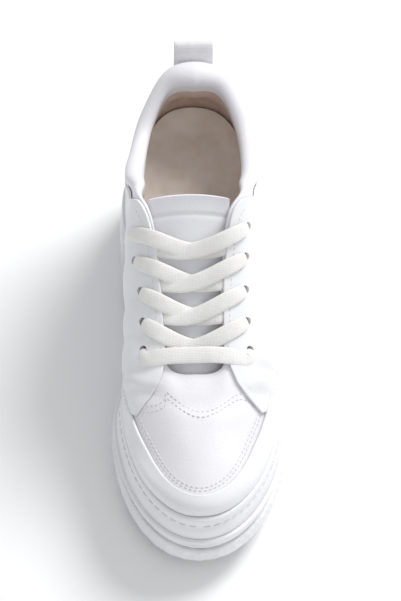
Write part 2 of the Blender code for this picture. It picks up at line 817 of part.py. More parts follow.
def bed_height(s):
    return table(BED_ROWS, BED_COLUMNS, "z", s)


def cup_rise(s):
    return table(CUP_ROWS, CUP_COLUMNS, "rise", s)


def make_insole(finish):
    """Footbed and wedge in one solid that fills the upper's foot up to the cupped bed."""
    stations = UPPER_STATIONS
    count = len(stations)
    rough_s = skin(stations, np.full(count, 0.2))[:, 0]
    top = share_at_height(stations, bed_height(rough_s) + cup_rise(rough_s))
    inward = WALL + BED_CLEARANCE
    loops = [offset_skin(stations, top * share, -inward) for share in SIDE_SHARES]
    loops[0][:, 2] = sole_height("lip", loops[0][:, 0]) + GAP
    edge = offset_skin(stations, top, -(inward + 1.0))
    loops.append(edge)
    middle = 0.5 * (edge + edge[(-np.arange(count)) % count])
    spine = np.column_stack([np.clip(edge[:, 0], 45.0, 235.0), middle[:, 1]])
    for reach, rise in BED_STEPS:
        plan = spine + (edge[:, :2] - spine) * reach
        z = bed_height(plan[:, 0]) + cup_rise(plan[:, 0]) * rise
        loops.append(np.column_stack([plan, z]))
    return filled("insole", loops, finish)


# Tongue

TONGUE_COLUMNS = ("s", "half", "z", "middle")
TONGUE_ROWS = (
    (200.0, 14.4, 65.0, -3.2),
    (190.0, 15.0, 69.6, -3.2),
    (180.0, 16.6, 75.8, -3.6),
    (168.0, 18.0, 83.8, -4.0),
    (150.0, 19.2, 97.6, -4.6),
    (132.0, 20.2, 113.2, -5.2),
    (119.0, 21.4, 126.6, -5.6),
    (114.8, 21.6, 133.0, -5.6),
)
TONGUE_THICKNESS = 3.6
TONGUE_CROWN = 3.6
TONGUE_ACROSS = (-1.0, -0.75, -0.4, 0.0, 0.4, 0.75, 1.0)


def make_tongue(finish):
    """A padded sheet under the throat, crowned across."""
    top, under = [], []
    s = column(TONGUE_ROWS, TONGUE_COLUMNS, "s")
    knots = np.arange(len(s), dtype=float)
    places = np.linspace(0.0, len(s) - 1.0, 15)
    weights = spline_weights(knots, places)
    half = weights @ column(TONGUE_ROWS, TONGUE_COLUMNS, "half")
    z = weights @ column(TONGUE_ROWS, TONGUE_COLUMNS, "z")
    middle = weights @ column(TONGUE_ROWS, TONGUE_COLUMNS, "middle")
    s = weights @ s
    slope = np.gradient(z, s)
    normal_s = -slope / np.sqrt(1.0 + slope**2)
    normal_z = 1.0 / np.sqrt(1.0 + slope**2)
    for i in range(len(s)):
        top_row, under_row = [], []
        for across in TONGUE_ACROSS:
            crown = TONGUE_CROWN * (1.0 - across**2)
            thick = TONGUE_THICKNESS * (1.0 - 0.45 * across**4)
            point = np.array([s[i], middle[i] + across * half[i], z[i] - TONGUE_CROWN + crown])
            lift = np.array([normal_s[i], 0.0, normal_z[i]])
            top_row.append(point)
            under_row.append(point - lift * thick)
        top.append(top_row)
        under.append(under_row)
    return shell("tongue", np.array(top), np.array(under), finish)


# Lace

LACE_WIDTH = 8.0
LACE_THICK = 1.5


def strip(name, path, ups, width, thick, finish):
    """A flat tape along a path, with an up direction at each point."""
    path = np.asarray(path, float)
    ahead = np.gradient(path, axis=0)
    ahead /= np.linalg.norm(ahead, axis=1)[:, None]
    across = np.cross(ahead, ups)
    across /= np.linalg.norm(across, axis=1)[:, None]
    up = np.cross(across, ahead)
    section = ((-0.5, 0.0), (-0.36, 0.5), (0.36, 0.5), (0.5, 0.0), (0.36, -0.5), (-0.36, -0.5))
    points = []
    for k in range(len(path)):
        for a, b in section:
            points.append(path[k] + across[k] * a * width + up[k] * b * thick)
    size = len(section)
    faces = []
    for k in range(len(path) - 1):
        for i in range(size):
            j = (i + 1) % size
            faces.append((k * size + i, k * size + j, (k + 1) * size + j, (k + 1) * size + i))
    faces.append(tuple(range(size)))
    faces.append(tuple((len(path) - 1) * size + i for i in reversed(range(size))))
    return make_object(name, points, faces, finish)


def tongue_top(s):
    """Height and slope direction of the tongue's crown at a distance from the heel."""
    order = np.argsort(column(TONGUE_ROWS, TONGUE_COLUMNS, "s"))
    knots = column(TONGUE_ROWS, TONGUE_COLUMNS, "s")[order]
    heights = column(TONGUE_ROWS, TONGUE_COLUMNS, "z")[order]
    z = np.interp(s, knots, heights)
    slope = (np.interp(s + 5.0, knots, heights) - np.interp(s - 5.0, knots, heights)) / 10.0
    up = np.array([-slope, 0.0, 1.0])
    return z, up / np.linalg.norm(up)


EYE_LIFT = 3.7
# How far each crossing's tapes run over the facings, from the lowest crossing up.
FACING_LIFTS = (4.1, 3.8, 4.0, 4.9)
UNDER_LIFT = 1.3
UNDER_INWARD = 3.4
CROWN_LIFT = 2.6
OVER_LIFT = 3.8
BAR_FORWARD = 5.0
BAR_RISE = 2.2
NEAR_SHIFT = 8.5
FAR_SHIFT = 0.5


def throat_edge(s, side):
    """The throat's edge at a distance from the heel, and the direction out of the facing."""
    station = np.linspace(1.5, 9.5, 81)
    turn = station if side > 0 else AROUND - station
    edge = skin(turn, np.ones(len(turn)))
    found = np.array([np.interp(-s, -edge[:, 0], turn)])
    point = skin(found, np.array([1.0]))[0]
    out = offset_skin(found, np.array([0.97]), np.array([1.0]))[0] - skin(found, np.array([0.97]))[0]
    return point, out


def lace_path(high, far, side, lift, facing_lift):
    """From an eyelet over its facing and the tongue to the far side's throat edge."""
    near, near_out = throat_edge(high[0][0] + NEAR_SHIFT, side)
    low = throat_edge(far[0][0] + FAR_SHIFT, -side)[0]
    up = tongue_top(low[0])[1]
    low = low + np.array([0.0, side * UNDER_INWARD, 0.0]) + up * UNDER_LIFT
    near_up = near_out + up
    near_up /= np.linalg.norm(near_up)
    near = near + near_up * facing_lift
    middle = 0.5 * (near + low)
    z, middle_up = tongue_top(middle[0])
    middle[2] = z
    points = np.array([high[0] + high[1] * facing_lift, near, middle + middle_up * lift, low])
    ups = np.array([high[1], near_up, middle_up, up])
    weights = spline_weights(np.array([0.0, 1.0, 2.5, 4.0]), np.linspace(0.0, 4.0, 8))
    return weights @ points, weights @ ups


def bar_path(outer, inner):
    """Straight across from the first outer eyelet to the first inner one."""
    s = 0.5 * (outer[0][0] + inner[0][0]) + BAR_FORWARD
    up = tongue_top(s)[1]
    forward = np.array([BAR_FORWARD, 0.0, up[0] / up[2] * -BAR_FORWARD + BAR_RISE])
    points, ups = [outer[0] + forward + outer[1] * EYE_LIFT], [outer[1]]
    for side in (1.0, -1.0):
        edge, out = throat_edge(s, side)
        edge_up = (out + up) / np.linalg.norm(out + up)
        points.append(edge + edge_up * (EYE_LIFT + 0.6))
        ups.append(edge_up)
    points.insert(2, 0.5 * (points[1] + points[2]) + up * 0.4)
    ups.insert(2, up)
    points.append(inner[0] + forward + inner[1] * EYE_LIFT)
    ups.append(inner[1])
    weights = spline_weights(np.array([0.0, 1.0, 2.5, 4.0, 5.0]), np.linspace(0.0, 5.0, 9))
    return weights @ np.array(points), weights @ np.array(ups)


def make_lace(finish):
    """The bottom bar and four crossings, each crossing two tapes joined where they cross."""
    eyes = eyelet_places()
    outer, inner = eyes[:5], eyes[5:]
    path, up = bar_path(outer[0], inner[0])
    strip("lace_bar", path, up, LACE_WIDTH, LACE_THICK, finish)
    for k in range(4):
        name = "lace_cross_%d" % (k + 1)
        path, up = lace_path(inner[k + 1], outer[k], -1.0, CROWN_LIFT, FACING_LIFTS[k])
        under = strip(name, path, up, LACE_WIDTH, LACE_THICK, finish)
        path, up = lace_path(outer[k + 1], inner[k], 1.0, OVER_LIFT, FACING_LIFTS[k])
        over = strip("over", path, up, LACE_WIDTH, LACE_THICK, finish)
        apply_boolean(under, over, "UNION")
        drop(over)


# Pull loop

LOOP_WIDTH = 21.0
LOOP_THICK = 1.6
LOOP_MIDDLE = 0.2
LOOP_COLUMNS = ("s", "z")
LOOP_ROWS = (
    (22.5, 123.0), (23.2, 128.0), (23.2, 133.0), (22.8, 138.0), (21.8, 142.6), (19.8, 145.2),
    (17.2, 143.6), (16.4, 138.0), (17.0, 132.0), (18.0, 127.0), (18.8, 123.0),
)


def make_pull_loop(finish):
    """A folded strap that stands up behind the heel tab."""
    rows = np.array(LOOP_ROWS)
    places = np.linspace(0.0, len(rows) - 1.0, 19)
    path = spline_weights(np.arange(len(rows), dtype=float), places) @ rows
    ahead = np.gradient(path, axis=0)
    ahead /= np.linalg.norm(ahead, axis=1)[:, None]
    out = np.stack([-ahead[:, 1], ahead[:, 0]], 1)
    outer, inner = [], []
    for x in (LOOP_MIDDLE - LOOP_WIDTH / 2.0, LOOP_MIDDLE, LOOP_MIDDLE + LOOP_WIDTH / 2.0):
        for reach, grid in ((0.5, outer), (-0.5, inner)):
            side = path + out * LOOP_THICK * reach
            grid.append(np.column_stack([side[:, 0], np.full(len(side), x), side[:, 1]]))
    return shell("pull_loop", np.array(outer), np.array(inner), finish)


def main():
    for old in list(bpy.data.objects):
        bpy.data.objects.remove(old)
    rubber = material("outsole_rubber", (0.83, 0.83, 0.84), 0.55)
    foam = material("midsole_foam", (0.86, 0.86, 0.87), 0.5)
    band = material("rand_rubber", (0.87, 0.87, 0.88), 0.45)
    leather = material("upper_leather", (0.86, 0.86, 0.88), 0.4)
    panel = material("panel_leather", (0.87, 0.87, 0.89), 0.38)
    bed = material("insole_cloth", (0.8, 0.74, 0.68), 0.8)
    padded = material("tongue_leather", (0.84, 0.84, 0.86), 0.45)
    cotton = material("lace_cotton", (0.88, 0.87, 0.85), 0.85)
    strap = material("loop_leather", (0.8, 0.79, 0.78), 0.5)
    make_outsole(rubber)
    make_midsole(foam)
    make_rand(band)
    make_insole(bed)
    upper = make_upper(leather)
    make_mudguard(panel)
    make_counter(panel)
    quarters = [make_quarter("quarter_lateral", 1.0, panel), make_quarter("quarter_medial", -1.0, panel)]
    cutter = eyelet_cutter()
    for made in [upper] + quarters:
        apply_boolean(made, cutter, "DIFFERENCE")
    drop(cutter)
    make_tongue(padded)
    make_lace(cotton)
    make_pull_loop(strap)


main()
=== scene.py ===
"""Hidden wedge sneaker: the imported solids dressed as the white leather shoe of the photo.

Lengths are millimetres until a mesh is made: s from the heel forward, x to the outer side, z up.
The shape tables and the skin are those of the CAD, sampled more finely.
"""
import math

import bmesh
import bpy
import numpy as np
from mathutils import Matrix, Vector


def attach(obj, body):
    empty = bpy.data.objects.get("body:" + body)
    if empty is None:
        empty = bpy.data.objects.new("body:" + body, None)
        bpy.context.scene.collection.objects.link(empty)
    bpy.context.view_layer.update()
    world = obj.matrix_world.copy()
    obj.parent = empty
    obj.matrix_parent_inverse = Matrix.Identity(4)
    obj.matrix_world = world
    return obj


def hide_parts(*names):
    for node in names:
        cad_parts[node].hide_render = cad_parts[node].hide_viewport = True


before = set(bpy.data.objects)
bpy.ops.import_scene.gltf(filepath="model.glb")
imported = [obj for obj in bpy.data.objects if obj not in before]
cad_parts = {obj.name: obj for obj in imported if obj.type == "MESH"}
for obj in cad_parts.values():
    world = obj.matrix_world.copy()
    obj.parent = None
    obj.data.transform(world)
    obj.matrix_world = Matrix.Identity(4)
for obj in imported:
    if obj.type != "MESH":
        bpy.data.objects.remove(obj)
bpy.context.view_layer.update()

MM = 0.001
LENGTH = 271.0
HEEL_STATION = 16
AROUND = 2 * HEEL_STATION

# The sole's plan: widest half width and middle line at a distance from the heel.
PLAN_COLUMNS = ("s", "half", "middle")
PLAN_ROWS = (
    (50.0, 40.6, 0.9),
    (80.0, 39.8, 1.8),
    (110.0, 39.2, 2.6),
    (135.0, 39.8, 3.1),
    (150.0, 42.2, 2.6),
    (165.0, 45.2, 1.7),
    (185.0, 47.4, 0.0),
)
TOE_START = 185.0
HEEL_END = 50.0
TOE_LEAN = -2.4

# Heights on the sole's side: floor side of the tread, top of the wraps, lip, rim.
SOLE_COLUMNS = ("s", "ground", "wrap", "lip", "rim")
SOLE_ROWS = (
    (0.0, 0.0, 31.8, 46.2, 62.0),
    (15.0, 0.0, 31.3, 45.9, 61.8),
    (40.0, 0.0, 28.4, 41.9, 59.2),
    (65.0, 0.0, 25.2, 38.4, 56.2),
    (95.0, 0.0, 23.5, 34.0, 51.8),
    (125.0, 0.0, 22.6, 30.4, 47.3),
    (155.0, 0.0, 22.3, 27.9, 44.0),
    (180.0, 0.0, 21.6, 27.2, 42.8),
    (205.0, 1.6, 21.3, 27.9, 43.0),
    (230.0, 3.9, 22.0, 30.2, 45.3),
    (252.0, 6.6, 24.0, 32.8, 47.0),
    (271.0, 9.4, 26.6, 33.9, 47.4),
)

# Stations round the shoe. Toe stations are angles on the toe's half ellipse, side stations are
# distances from the heel, heel stations are angles on the heel's half ellipse.
TOE_ANGLES = (90.0, 67.0, 46.0, 28.0, 12.5)
SIDE_STATIONS = (184.0, 166.0, 148.0, 130.0, 111.0, 91.0, 71.5, 53.0)
HEEL_ANGLES = (19.0, 42.0, 66.0, 90.0)

# The upper's ribs, one row for each station from the toe to the heel: the swell above the rim,
# the shoulder, and the top edge, with the top edge's own middle line.
RIB_COLUMNS = (
    "swell_s", "swell_half", "swell_z",
    "shoulder_s", "shoulder_half", "shoulder_z",
    "top_s", "top_half", "top_z", "top_middle",
)
RIB_ROWS = (
    (253.2, 0.0, 55.8, 229.0, 0.0, 65.2, 190.0, 0.0, 75.2, -3.2),
    (246.8, 15.5, 55.0, 224.0, 9.5, 65.8, 189.4, 8.6, 75.2, -3.2),
    (234.6, 26.0, 53.4, 214.5, 18.0, 65.8, 185.5, 14.8, 77.4, -3.5),
    (219.0, 34.0, 52.2, 204.0, 25.5, 66.0, 177.5, 15.8, 81.6, -3.8),
    (201.5, 37.8, 52.6, 192.0, 31.2, 67.4, 167.5, 15.8, 88.6, -4.1),
    (184.5, 39.6, 55.4, 178.5, 34.0, 71.4, 156.5, 16.0, 96.4, -4.5),
    (166.5, 39.2, 59.4, 163.5, 35.6, 76.6, 144.8, 16.8, 105.4, -4.8),
    (148.0, 37.2, 63.4, 147.5, 35.8, 83.4, 132.5, 18.8, 116.2, -5.0),
    (130.0, 36.0, 67.2, 131.0, 35.8, 92.4, 119.5, 22.8, 127.4, -5.4),
    (111.0, 35.6, 70.4, 112.0, 35.6, 99.0, 107.5, 30.6, 127.4, -4.0),
    (91.0, 35.4, 73.6, 91.5, 35.2, 99.0, 91.0, 34.2, 119.2, -2.6),
    (71.5, 35.2, 76.4, 72.0, 34.8, 98.4, 73.0, 33.6, 114.0, -1.4),
    (53.5, 33.8, 79.4, 55.0, 32.6, 98.0, 57.0, 30.8, 114.2, -0.6),
    (38.8, 29.6, 81.6, 41.4, 27.8, 100.0, 45.8, 26.2, 121.4, -0.2),
    (26.6, 22.8, 83.6, 29.8, 21.0, 104.0, 36.2, 19.6, 131.0, 0.0),
    (18.6, 12.6, 85.2, 22.2, 11.6, 107.0, 30.6, 10.8, 136.4, 0.0),
    (16.2, 0.0, 85.8, 19.8, 0.0, 108.0, 28.8, 0.0, 137.6, 0.0),
)
# Where the five guide loops sit along a rib: hidden foot, rim, swell, shoulder, top.
RIB_KNOTS = (0.0, 0.14, 0.38, 0.68, 1.0)
# How far the three upper loops lean from the plan's middle line to the top edge's.
RIB_LEANS = (("swell", 0.15), ("shoulder", 0.65), ("top", 1.0))

# Insets from the sole's widest outline: on the sides, at the toe, at the heel.
FOOT_INSET = np.array((7.4, 11.6, 14.2))
FOOT_ABOVE_LIP = 0.7
FOOT_TUCK = 0.9
RAND_CLEARANCE = 0.6

WALL = 2.0
COLLAR_FROM = 8.4
COLLAR_FULL = 9.6
# Foam behind the collar's lining, by station from the throat to the heel tab.
PAD_COLUMNS = ("station", "foam")
PAD_ROWS = ((9.0, 6.2), (11.0, 6.2), (13.0, 4.8), (14.0, 5.6), (15.0, 8.6), (16.0, 10.4))
FLUSH_FROM = 9.3
FLUSH_FULL = 10.0
OVERLAY = 1.2
PANEL_SEAT = 0.8

# Seam heights above the floor: the mudguard's top edge by station.
MUDGUARD_TOP = (56.0, 55.8, 55.8, 57.0, 58.2, 60.2, 62.2, 64.0, 66.6, 69.4, 72.4, 75.0)
COUNTER_FRONT = 11.2
# The counter's top edge by station, from its front edge to the back of the heel.
COUNTER_COLUMNS = ("station", "z")
COUNTER_ROWS = (
    (11.2, 75.0), (11.5, 83.0), (12.0, 91.4), (12.5, 97.0), (13.0, 100.8),
    (13.6, 104.6), (14.3, 110.0), (15.0, 116.0), (16.0, 121.0),
)
# The flap's free front edge on each side, from the throat down to the mudguard.
FLAP_COLUMNS = ("s", "outer_x", "inner_x")
FLAP_ROWS = (
    (183.0, 13.4, -19.6), (188.0, 14.4, -20.4), (193.0, 17.2, -22.2),
    (197.5, 21.2, -25.8), (201.5, 25.8, -30.2), (205.0, 30.2, -34.6),
)
FLAP_FOOT = 3.75
QUARTER_BACK = 14.8
QUARTER_TOP = 0.93

EYELET_COLUMNS = ("s", "half", "middle")
EYELET_ROWS = (
    (176.0, 27.4, -2.7),
    (163.0, 26.7, -3.4),
    (149.2, 26.8, -4.2),
    (135.2, 28.2, -5.2),
    (122.4, 29.6, -5.6),
)
EYELET_BORE = 4.6

# The stations that the throat's search runs over, and the lowest share that it tries.
THROAT_FIRST = 1.5
THROAT_LAST = 9.5
THROAT_LOWEST = 0.45
HALVINGS = 40
# Share of the rib at which the facing's direction is read.
FACING_SHARE = 0.97


def column(rows, columns, name):
    """One named column of a table as an array."""
    index = columns.index(name)
    return np.array([row[index] for row in rows], float)


def spline_weights(knots, places, closed=False):
    """Rows of weights that give a cubic spline through values at the knots.

    A closed spline repeats after the last knot plus the step of the first, an open one ends
    straight.
    """
    knots = np.asarray(knots, float)
    count = len(knots)
    if closed:
        period = knots[-1] - knots[0] + (knots[1] - knots[0])
        steps = np.diff(np.append(knots, knots[0] + period))
        places = knots[0] + np.mod(np.asarray(places, float) - knots[0], period)
    else:
        steps = np.diff(knots)
        places = np.asarray(places, float)
    left = np.zeros((count, count))
    right = np.zeros((count, count))
    inner = range(count) if closed else range(1, count - 1)
    for i in inner:
        before, after = steps[i - 1], steps[i % len(steps)]
        previous, following = (i - 1) % count, (i + 1) % count
        left[i, previous] += before
        left[i, i] += 2.0 * (before + after)
        left[i, following] += after
        right[i, following] += 6.0 / after
        right[i, i] -= 6.0 / after + 6.0 / before
        right[i, previous] += 6.0 / before
    if not closed:
        left[0, 0] = left[-1, -1] = 1.0
    bend = np.linalg.solve(left, right)
    cell = np.clip(np.searchsorted(knots, places, side="right") - 1, 0, len(steps) - 1)
    step = steps[cell]
    b = (places - knots[cell]) / step
    a = 1.0 - b
    end = (cell + 1) % count
    weights = np.zeros((len(places), count))
    rows = np.arange(len(places))
    weights[rows, cell] += a
    weights[rows, end] += b
    curve_a = ((a**3 - a) * step**2 / 6.0)[:, None]
    curve_b = ((b**3 - b) * step**2 / 6.0)[:, None]
    return weights + curve_a * bend[cell] + curve_b * bend[end]


def table(rows, columns, name, s):
    """A smooth value of a named column at the distances s, flat beyond the table."""
    knots = column(rows, columns, columns[0])
    values = column(rows, columns, name)
    s = np.clip(np.asarray(s, float), knots[0], knots[-1])
    return spline_weights(knots, np.atleast_1d(s)) @ values


def smoothstep(low, high, value):
    share = np.clip((np.asarray(value, float) - low) / (high - low), 0.0, 1.0)
    return share * share * (3.0 - 2.0 * share)


def unit(vectors):
    """A vector, or rows of vectors, brought to length one."""
    return vectors / np.linalg.norm(vectors, axis=-1, keepdims=True)


def plan(name, s):
    return table(PLAN_ROWS, PLAN_COLUMNS, name, [s])[0]


def plan_stations():
    """The sole's widest outline at the stations of one side: s, half width, middle."""
    rows = []
    for angle in TOE_ANGLES:
        forward = math.sin(math.radians(angle))
        across = math.cos(math.radians(angle))
        s = TOE_START + (LENGTH - TOE_START) * forward
        rows.append((s, plan("half", TOE_START) * across, TOE_LEAN * forward**1.5))
    rows += [(s, plan("half", s), plan("middle", s)) for s in SIDE_STATIONS]
    for angle in HEEL_ANGLES:
        back = math.sin(math.radians(angle))
        half = plan("half", HEEL_END) * math.cos(math.radians(angle))
        rows.append((HEEL_END * (1.0 - back), half, plan("middle", HEEL_END) * (1.0 - 0.4 * back)))
    return rows


def both_sides(rows):
    """Rows of one side, toe to heel, made into a closed loop: outer side first."""
    loop = [(row, 1.0) for row in rows]
    loop += [(row, -1.0) for row in reversed(rows[1:-1])]
    return loop


def closed(points, stations):
    """Points of a smooth closed loop through one point for each station."""
    weights = spline_weights(np.arange(AROUND), stations, closed=True)
    return np.tensordot(weights, np.asarray(points, float), axes=(1, 0))


PLAN_LOOP = np.array([(row[0], row[2] + side * row[1]) for row, side in both_sides(plan_stations())])


def outline(stations, inset):
    """Plan points (s, x) of the outline moved in by the side, toe and heel insets."""
    step = 0.01
    here = closed(PLAN_LOOP, stations)
    ahead = unit(closed(PLAN_LOOP, stations + step) - closed(PLAN_LOOP, stations - step))
    normal = np.stack([ahead[:, 1], -ahead[:, 0]], 1)
    middle = np.array([LENGTH / 2.0, 0.0])
    outward = np.sign(((here - middle) * normal).sum(1))
    normal *= np.where(outward == 0.0, 1.0, outward)[:, None]
    side, toe, heel = inset
    amount = side + (toe - side) * np.clip(normal[:, 0], 0, 1) ** 2
    amount += (heel - side) * np.clip(-normal[:, 0], 0, 1) ** 2
    return here - normal * amount[:, None]


def sole_height(name):
    """The height of one of the sole's lines, as a function of s."""
    return lambda s: table(SOLE_ROWS, SOLE_COLUMNS, name, s)


lip = sole_height("lip")
rim = sole_height("rim")
wrap = sole_height("wrap")
tread = sole_height("ground")


def sole_loop(stations, inset, height):
    """A closed loop on the sole, at a height that is a function of s."""
    places = outline(stations, inset)
    return np.column_stack([places, height(places[:, 0])])


def rib_points():
    """Guide points of the upper: station, guide loop, (s, x, z)."""
    foot = outline(np.arange(AROUND, dtype=float), FOOT_INSET)
    tucked = outline(np.arange(AROUND, dtype=float), FOOT_INSET + FOOT_TUCK)
    points = np.zeros((AROUND, len(RIB_KNOTS), 3))
    for i, (row, side) in enumerate(both_sides(RIB_ROWS)):
        rib = dict(zip(RIB_COLUMNS, row))
        s, x = foot[i]
        low_s, low_x = tucked[i]
        plan_middle = 0.5 * (x + foot[(AROUND - i) % AROUND, 1])
        points[i, 0] = (low_s, low_x, lip([low_s])[0] + FOOT_ABOVE_LIP)
        points[i, 1] = (s, x, rim([s])[0])
        for knot, (name, lean) in enumerate(RIB_LEANS, 2):
            middle = (1.0 - lean) * plan_middle + lean * rib["top_middle"]
            points[i, knot] = (rib[name + "_s"], middle + side * rib[name + "_half"], rib[name + "_z"])
    return points


RIBS = rib_points()


def skin(stations, shares):
    """Points on the upper's own surface, at stations and shares of the rib, as pairs."""
    stations = np.asarray(stations, float)
    shares = np.asarray(shares, float)
    around = spline_weights(np.arange(AROUND), stations, closed=True)
    along = spline_weights(RIB_KNOTS, shares)
    return np.einsum("ij,ik,jkc->ic", around, along, RIBS)


def skin_normals(stations, shares):
    step = 0.004
    low = np.clip(shares - step, 0.0, 1.0)
    high = np.clip(shares + step, 0.0, 1.0)
    across = skin(stations + step * 4, shares) - skin(stations - step * 4, shares)
    up = skin(stations, high) - skin(stations, low)
    return unit(np.cross(across, up))


def offset_skin(stations, shares, distance):
    """The upper's surface moved out along its normal."""
    stations = np.asarray(stations, float)
    shares = np.broadcast_to(np.asarray(shares, float), stations.shape)
    distance = np.broadcast_to(np.asarray(distance, float), stations.shape)
    points = skin(stations, shares)
    return points - skin_normals(stations, shares) * distance[:, None] * SKIN_SIGN


def skin_at(station, share, distance=0.0):
    """One point on the skin, or a distance off it."""
    return offset_skin(np.array([station]), np.array([share]), distance)[0]


def on_side(station, side):
    """Stations counted from the toe, on the outer side or the inner one."""
    return station if side > 0 else AROUND - station


def skin_sign():
    """The sign that makes a distance from the skin count outward, found on the outer side."""
    normal = skin_normals(np.array([8.0]), np.array([0.5]))[0]
    return -1.0 if normal[1] > 0.0 else 1.0


SKIN_SIGN = skin_sign()


def from_toe(stations):
    """Distance of a station from the toe, the same on both sides."""
    turn = np.mod(stations, AROUND)
    return np.minimum(turn, AROUND - turn)


def share_at_height(stations, z):
    """Share of the rib at which the skin reaches a height."""
    low = np.zeros(len(stations))
    high = np.ones(len(stations))
    for _ in range(HALVINGS):
        middle = 0.5 * (low + high)
        under = skin(stations, middle)[:, 2] < z
        low = np.where(under, middle, low)
        high = np.where(under, high, middle)
    return 0.5 * (low + high)


def rim_share(stations, above):
    """Share of the rib just above the sole's rim."""
    points = skin(stations, np.full(len(stations), RIB_KNOTS[1]))
    return share_at_height(stations, rim(points[:, 0]) + above)


def mudguard_share(stations):
    station = from_toe(stations)
    z = np.interp(station, np.arange(len(MUDGUARD_TOP)), MUDGUARD_TOP)
    return share_at_height(stations, z)


def counter_share(stations):
    station = from_toe(stations)
    z = table(COUNTER_ROWS, COUNTER_COLUMNS, "z", station)
    return share_at_height(stations, z)


def find_on_skin(s, x):
    """Station and share of the skin's upper half over a plan place, beside or behind the toe."""
    best = None
    side = 1.0 if x > 0.0 else -1.0
    shares = np.linspace(THROAT_LOWEST, 1.0, 56)
    for station in np.linspace(THROAT_FIRST, THROAT_LAST, 161):
        turn = on_side(station, side)
        points = skin(np.full(len(shares), turn), shares)
        miss = np.linalg.norm(points[:, :2] - np.array([s, x]), axis=1)
        k = int(miss.argmin())
        if best is None or miss[k] < best[0]:
            best = (miss[k], turn, shares[k])
    return best[1], best[2]


def flap_places(side):
    """Stations and shares of the flap's free edge on one side, from the throat down."""
    name = "outer_x" if side > 0 else "inner_x"
    places = [
        find_on_skin(s, x)
        for s, x in zip(column(FLAP_ROWS, FLAP_COLUMNS, "s"), column(FLAP_ROWS, FLAP_COLUMNS, name))
    ]
    stations = from_toe(np.array([place[0] for place in places]))
    shares = np.array([place[1] for place in places])
    order = np.argsort(stations)
    return stations[order], shares[order]


def quarter_foot(stations, side):
    """Lower edge of the quarter: flap front, then mudguard seam, then counter seam."""
    station = from_toe(stations)
    flap_stations, flap = flap_places(side)
    lower = mudguard_share(stations)
    front = np.interp(station, flap_stations, flap)
    past = smoothstep(flap_stations[-1], FLAP_FOOT, station)
    edge = np.maximum(front + (lower - front) * past, lower)
    return np.where(station > COUNTER_FRONT, counter_share(stations), edge)


def collar_share(stations):
    """0 along the throat, 1 along the padded collar."""
    return smoothstep(COLLAR_FROM, COLLAR_FULL, from_toe(stations))


def wall(stations, shares):
    """Wall of the upper: plain cloth and leather, with foam along the collar."""
    foam = table(PAD_ROWS, PAD_COLUMNS, "foam", from_toe(stations))
    return WALL + foam * collar_share(stations) * smoothstep(0.6, 0.88, shares)


def flush(stations, shares):
    """The collar stands as proud as the quarter panels that end under it."""
    along = smoothstep(FLUSH_FROM, FLUSH_FULL, from_toe(stations))
    return (OVERLAY + PANEL_SEAT) * along * smoothstep(QUARTER_TOP + 0.01, QUARTER_TOP + 0.035, shares)


def to_world(points):
    """(s, x, z) in millimetres to scene coordinates in metres."""
    points = np.asarray(points, float).reshape(-1, 3)
    return np.column_stack([points[:, 1], LENGTH / 2.0 - points[:, 0], points[:, 2]]) * MM


def eyelet_places():
    """Eyelet middles on both sides: point on the skin, and its outward direction."""
    places = []
    for side in (1.0, -1.0):
        for row in EYELET_ROWS:
            eye = dict(zip(EYELET_COLUMNS, row))
            place = find_on_skin(eye["s"], eye["middle"] + side * eye["half"])
            point = skin_at(*place)
            places.append((point, skin_at(*place, 1.0) - point))
    return places


BED_COLUMNS = ("s", "z")
BED_ROWS = (
    (14.0, 83.5), (40.0, 82.0), (60.0, 78.5), (80.0, 71.0), (100.0, 61.0), (120.0, 51.5),
    (140.0, 44.6), (160.0, 41.0), (185.0, 39.2), (215.0, 40.4), (240.0, 43.0), (262.0, 46.0),
)
# The footbed's rim is cupped: how far it stands over the middle, from the heel forward.
CUP_COLUMNS = ("s", "rise")
CUP_ROWS = ((14.0, 10.0), (35.0, 8.6), (60.0, 5.4), (90.0, 2.4), (130.0, 1.2), (262.0, 1.0))


def bed_height(s):
    return table(BED_ROWS, BED_COLUMNS, "z", s)


def cup_rise(s):
    return table(CUP_ROWS, CUP_COLUMNS, "rise", s)


TONGUE_COLUMNS = ("s", "half", "z", "middle")
TONGUE_ROWS = (
    (200.0, 14.4, 65.0, -3.2),
    (190.0, 15.0, 69.6, -3.2),
    (180.0, 16.6, 75.8, -3.6),
    (168.0, 18.0, 83.8, -4.0),
    (150.0, 19.2, 97.6, -4.6),
    (132.0, 20.2, 113.2, -5.2),
    (119.0, 21.4, 126.6, -5.6),
    (114.8, 21.6, 133.0, -5.6),
)
SLOPE_REACH = 5.0


def tongue_top(s):
    """Height and slope direction of the tongue's crown at a distance from the heel."""
    knots = column(TONGUE_ROWS, TONGUE_COLUMNS, "s")[::-1]
    heights = column(TONGUE_ROWS, TONGUE_COLUMNS, "z")[::-1]
    z = np.interp(s, knots, heights)
    ahead = np.interp(s + SLOPE_REACH, knots, heights)
    behind = np.interp(s - SLOPE_REACH, knots, heights)
    slope = (ahead - behind) / (2.0 * SLOPE_REACH)
    return z, unit(np.array([-slope, 0.0, 1.0]))


def throat_edge(s, side):
    """The throat's edge at a distance from the heel, and the direction out of the facing."""
    turn = on_side(np.linspace(THROAT_FIRST, THROAT_LAST, 81), side)
    edge = skin(turn, np.ones(len(turn)))
    found = np.interp(-s, -edge[:, 0], turn)
    return skin_at(found, 1.0), skin_at(found, FACING_SHARE, 1.0) - skin_at(found, FACING_SHARE)


TRAY_FLOOR = 4.6
TRAY_WALL = 3.2
TOE_WRAP_END = 153.0
HEEL_WRAP_END = 65.0
WRAP_TURN = 5.0
WAIST_WALL = 5.8


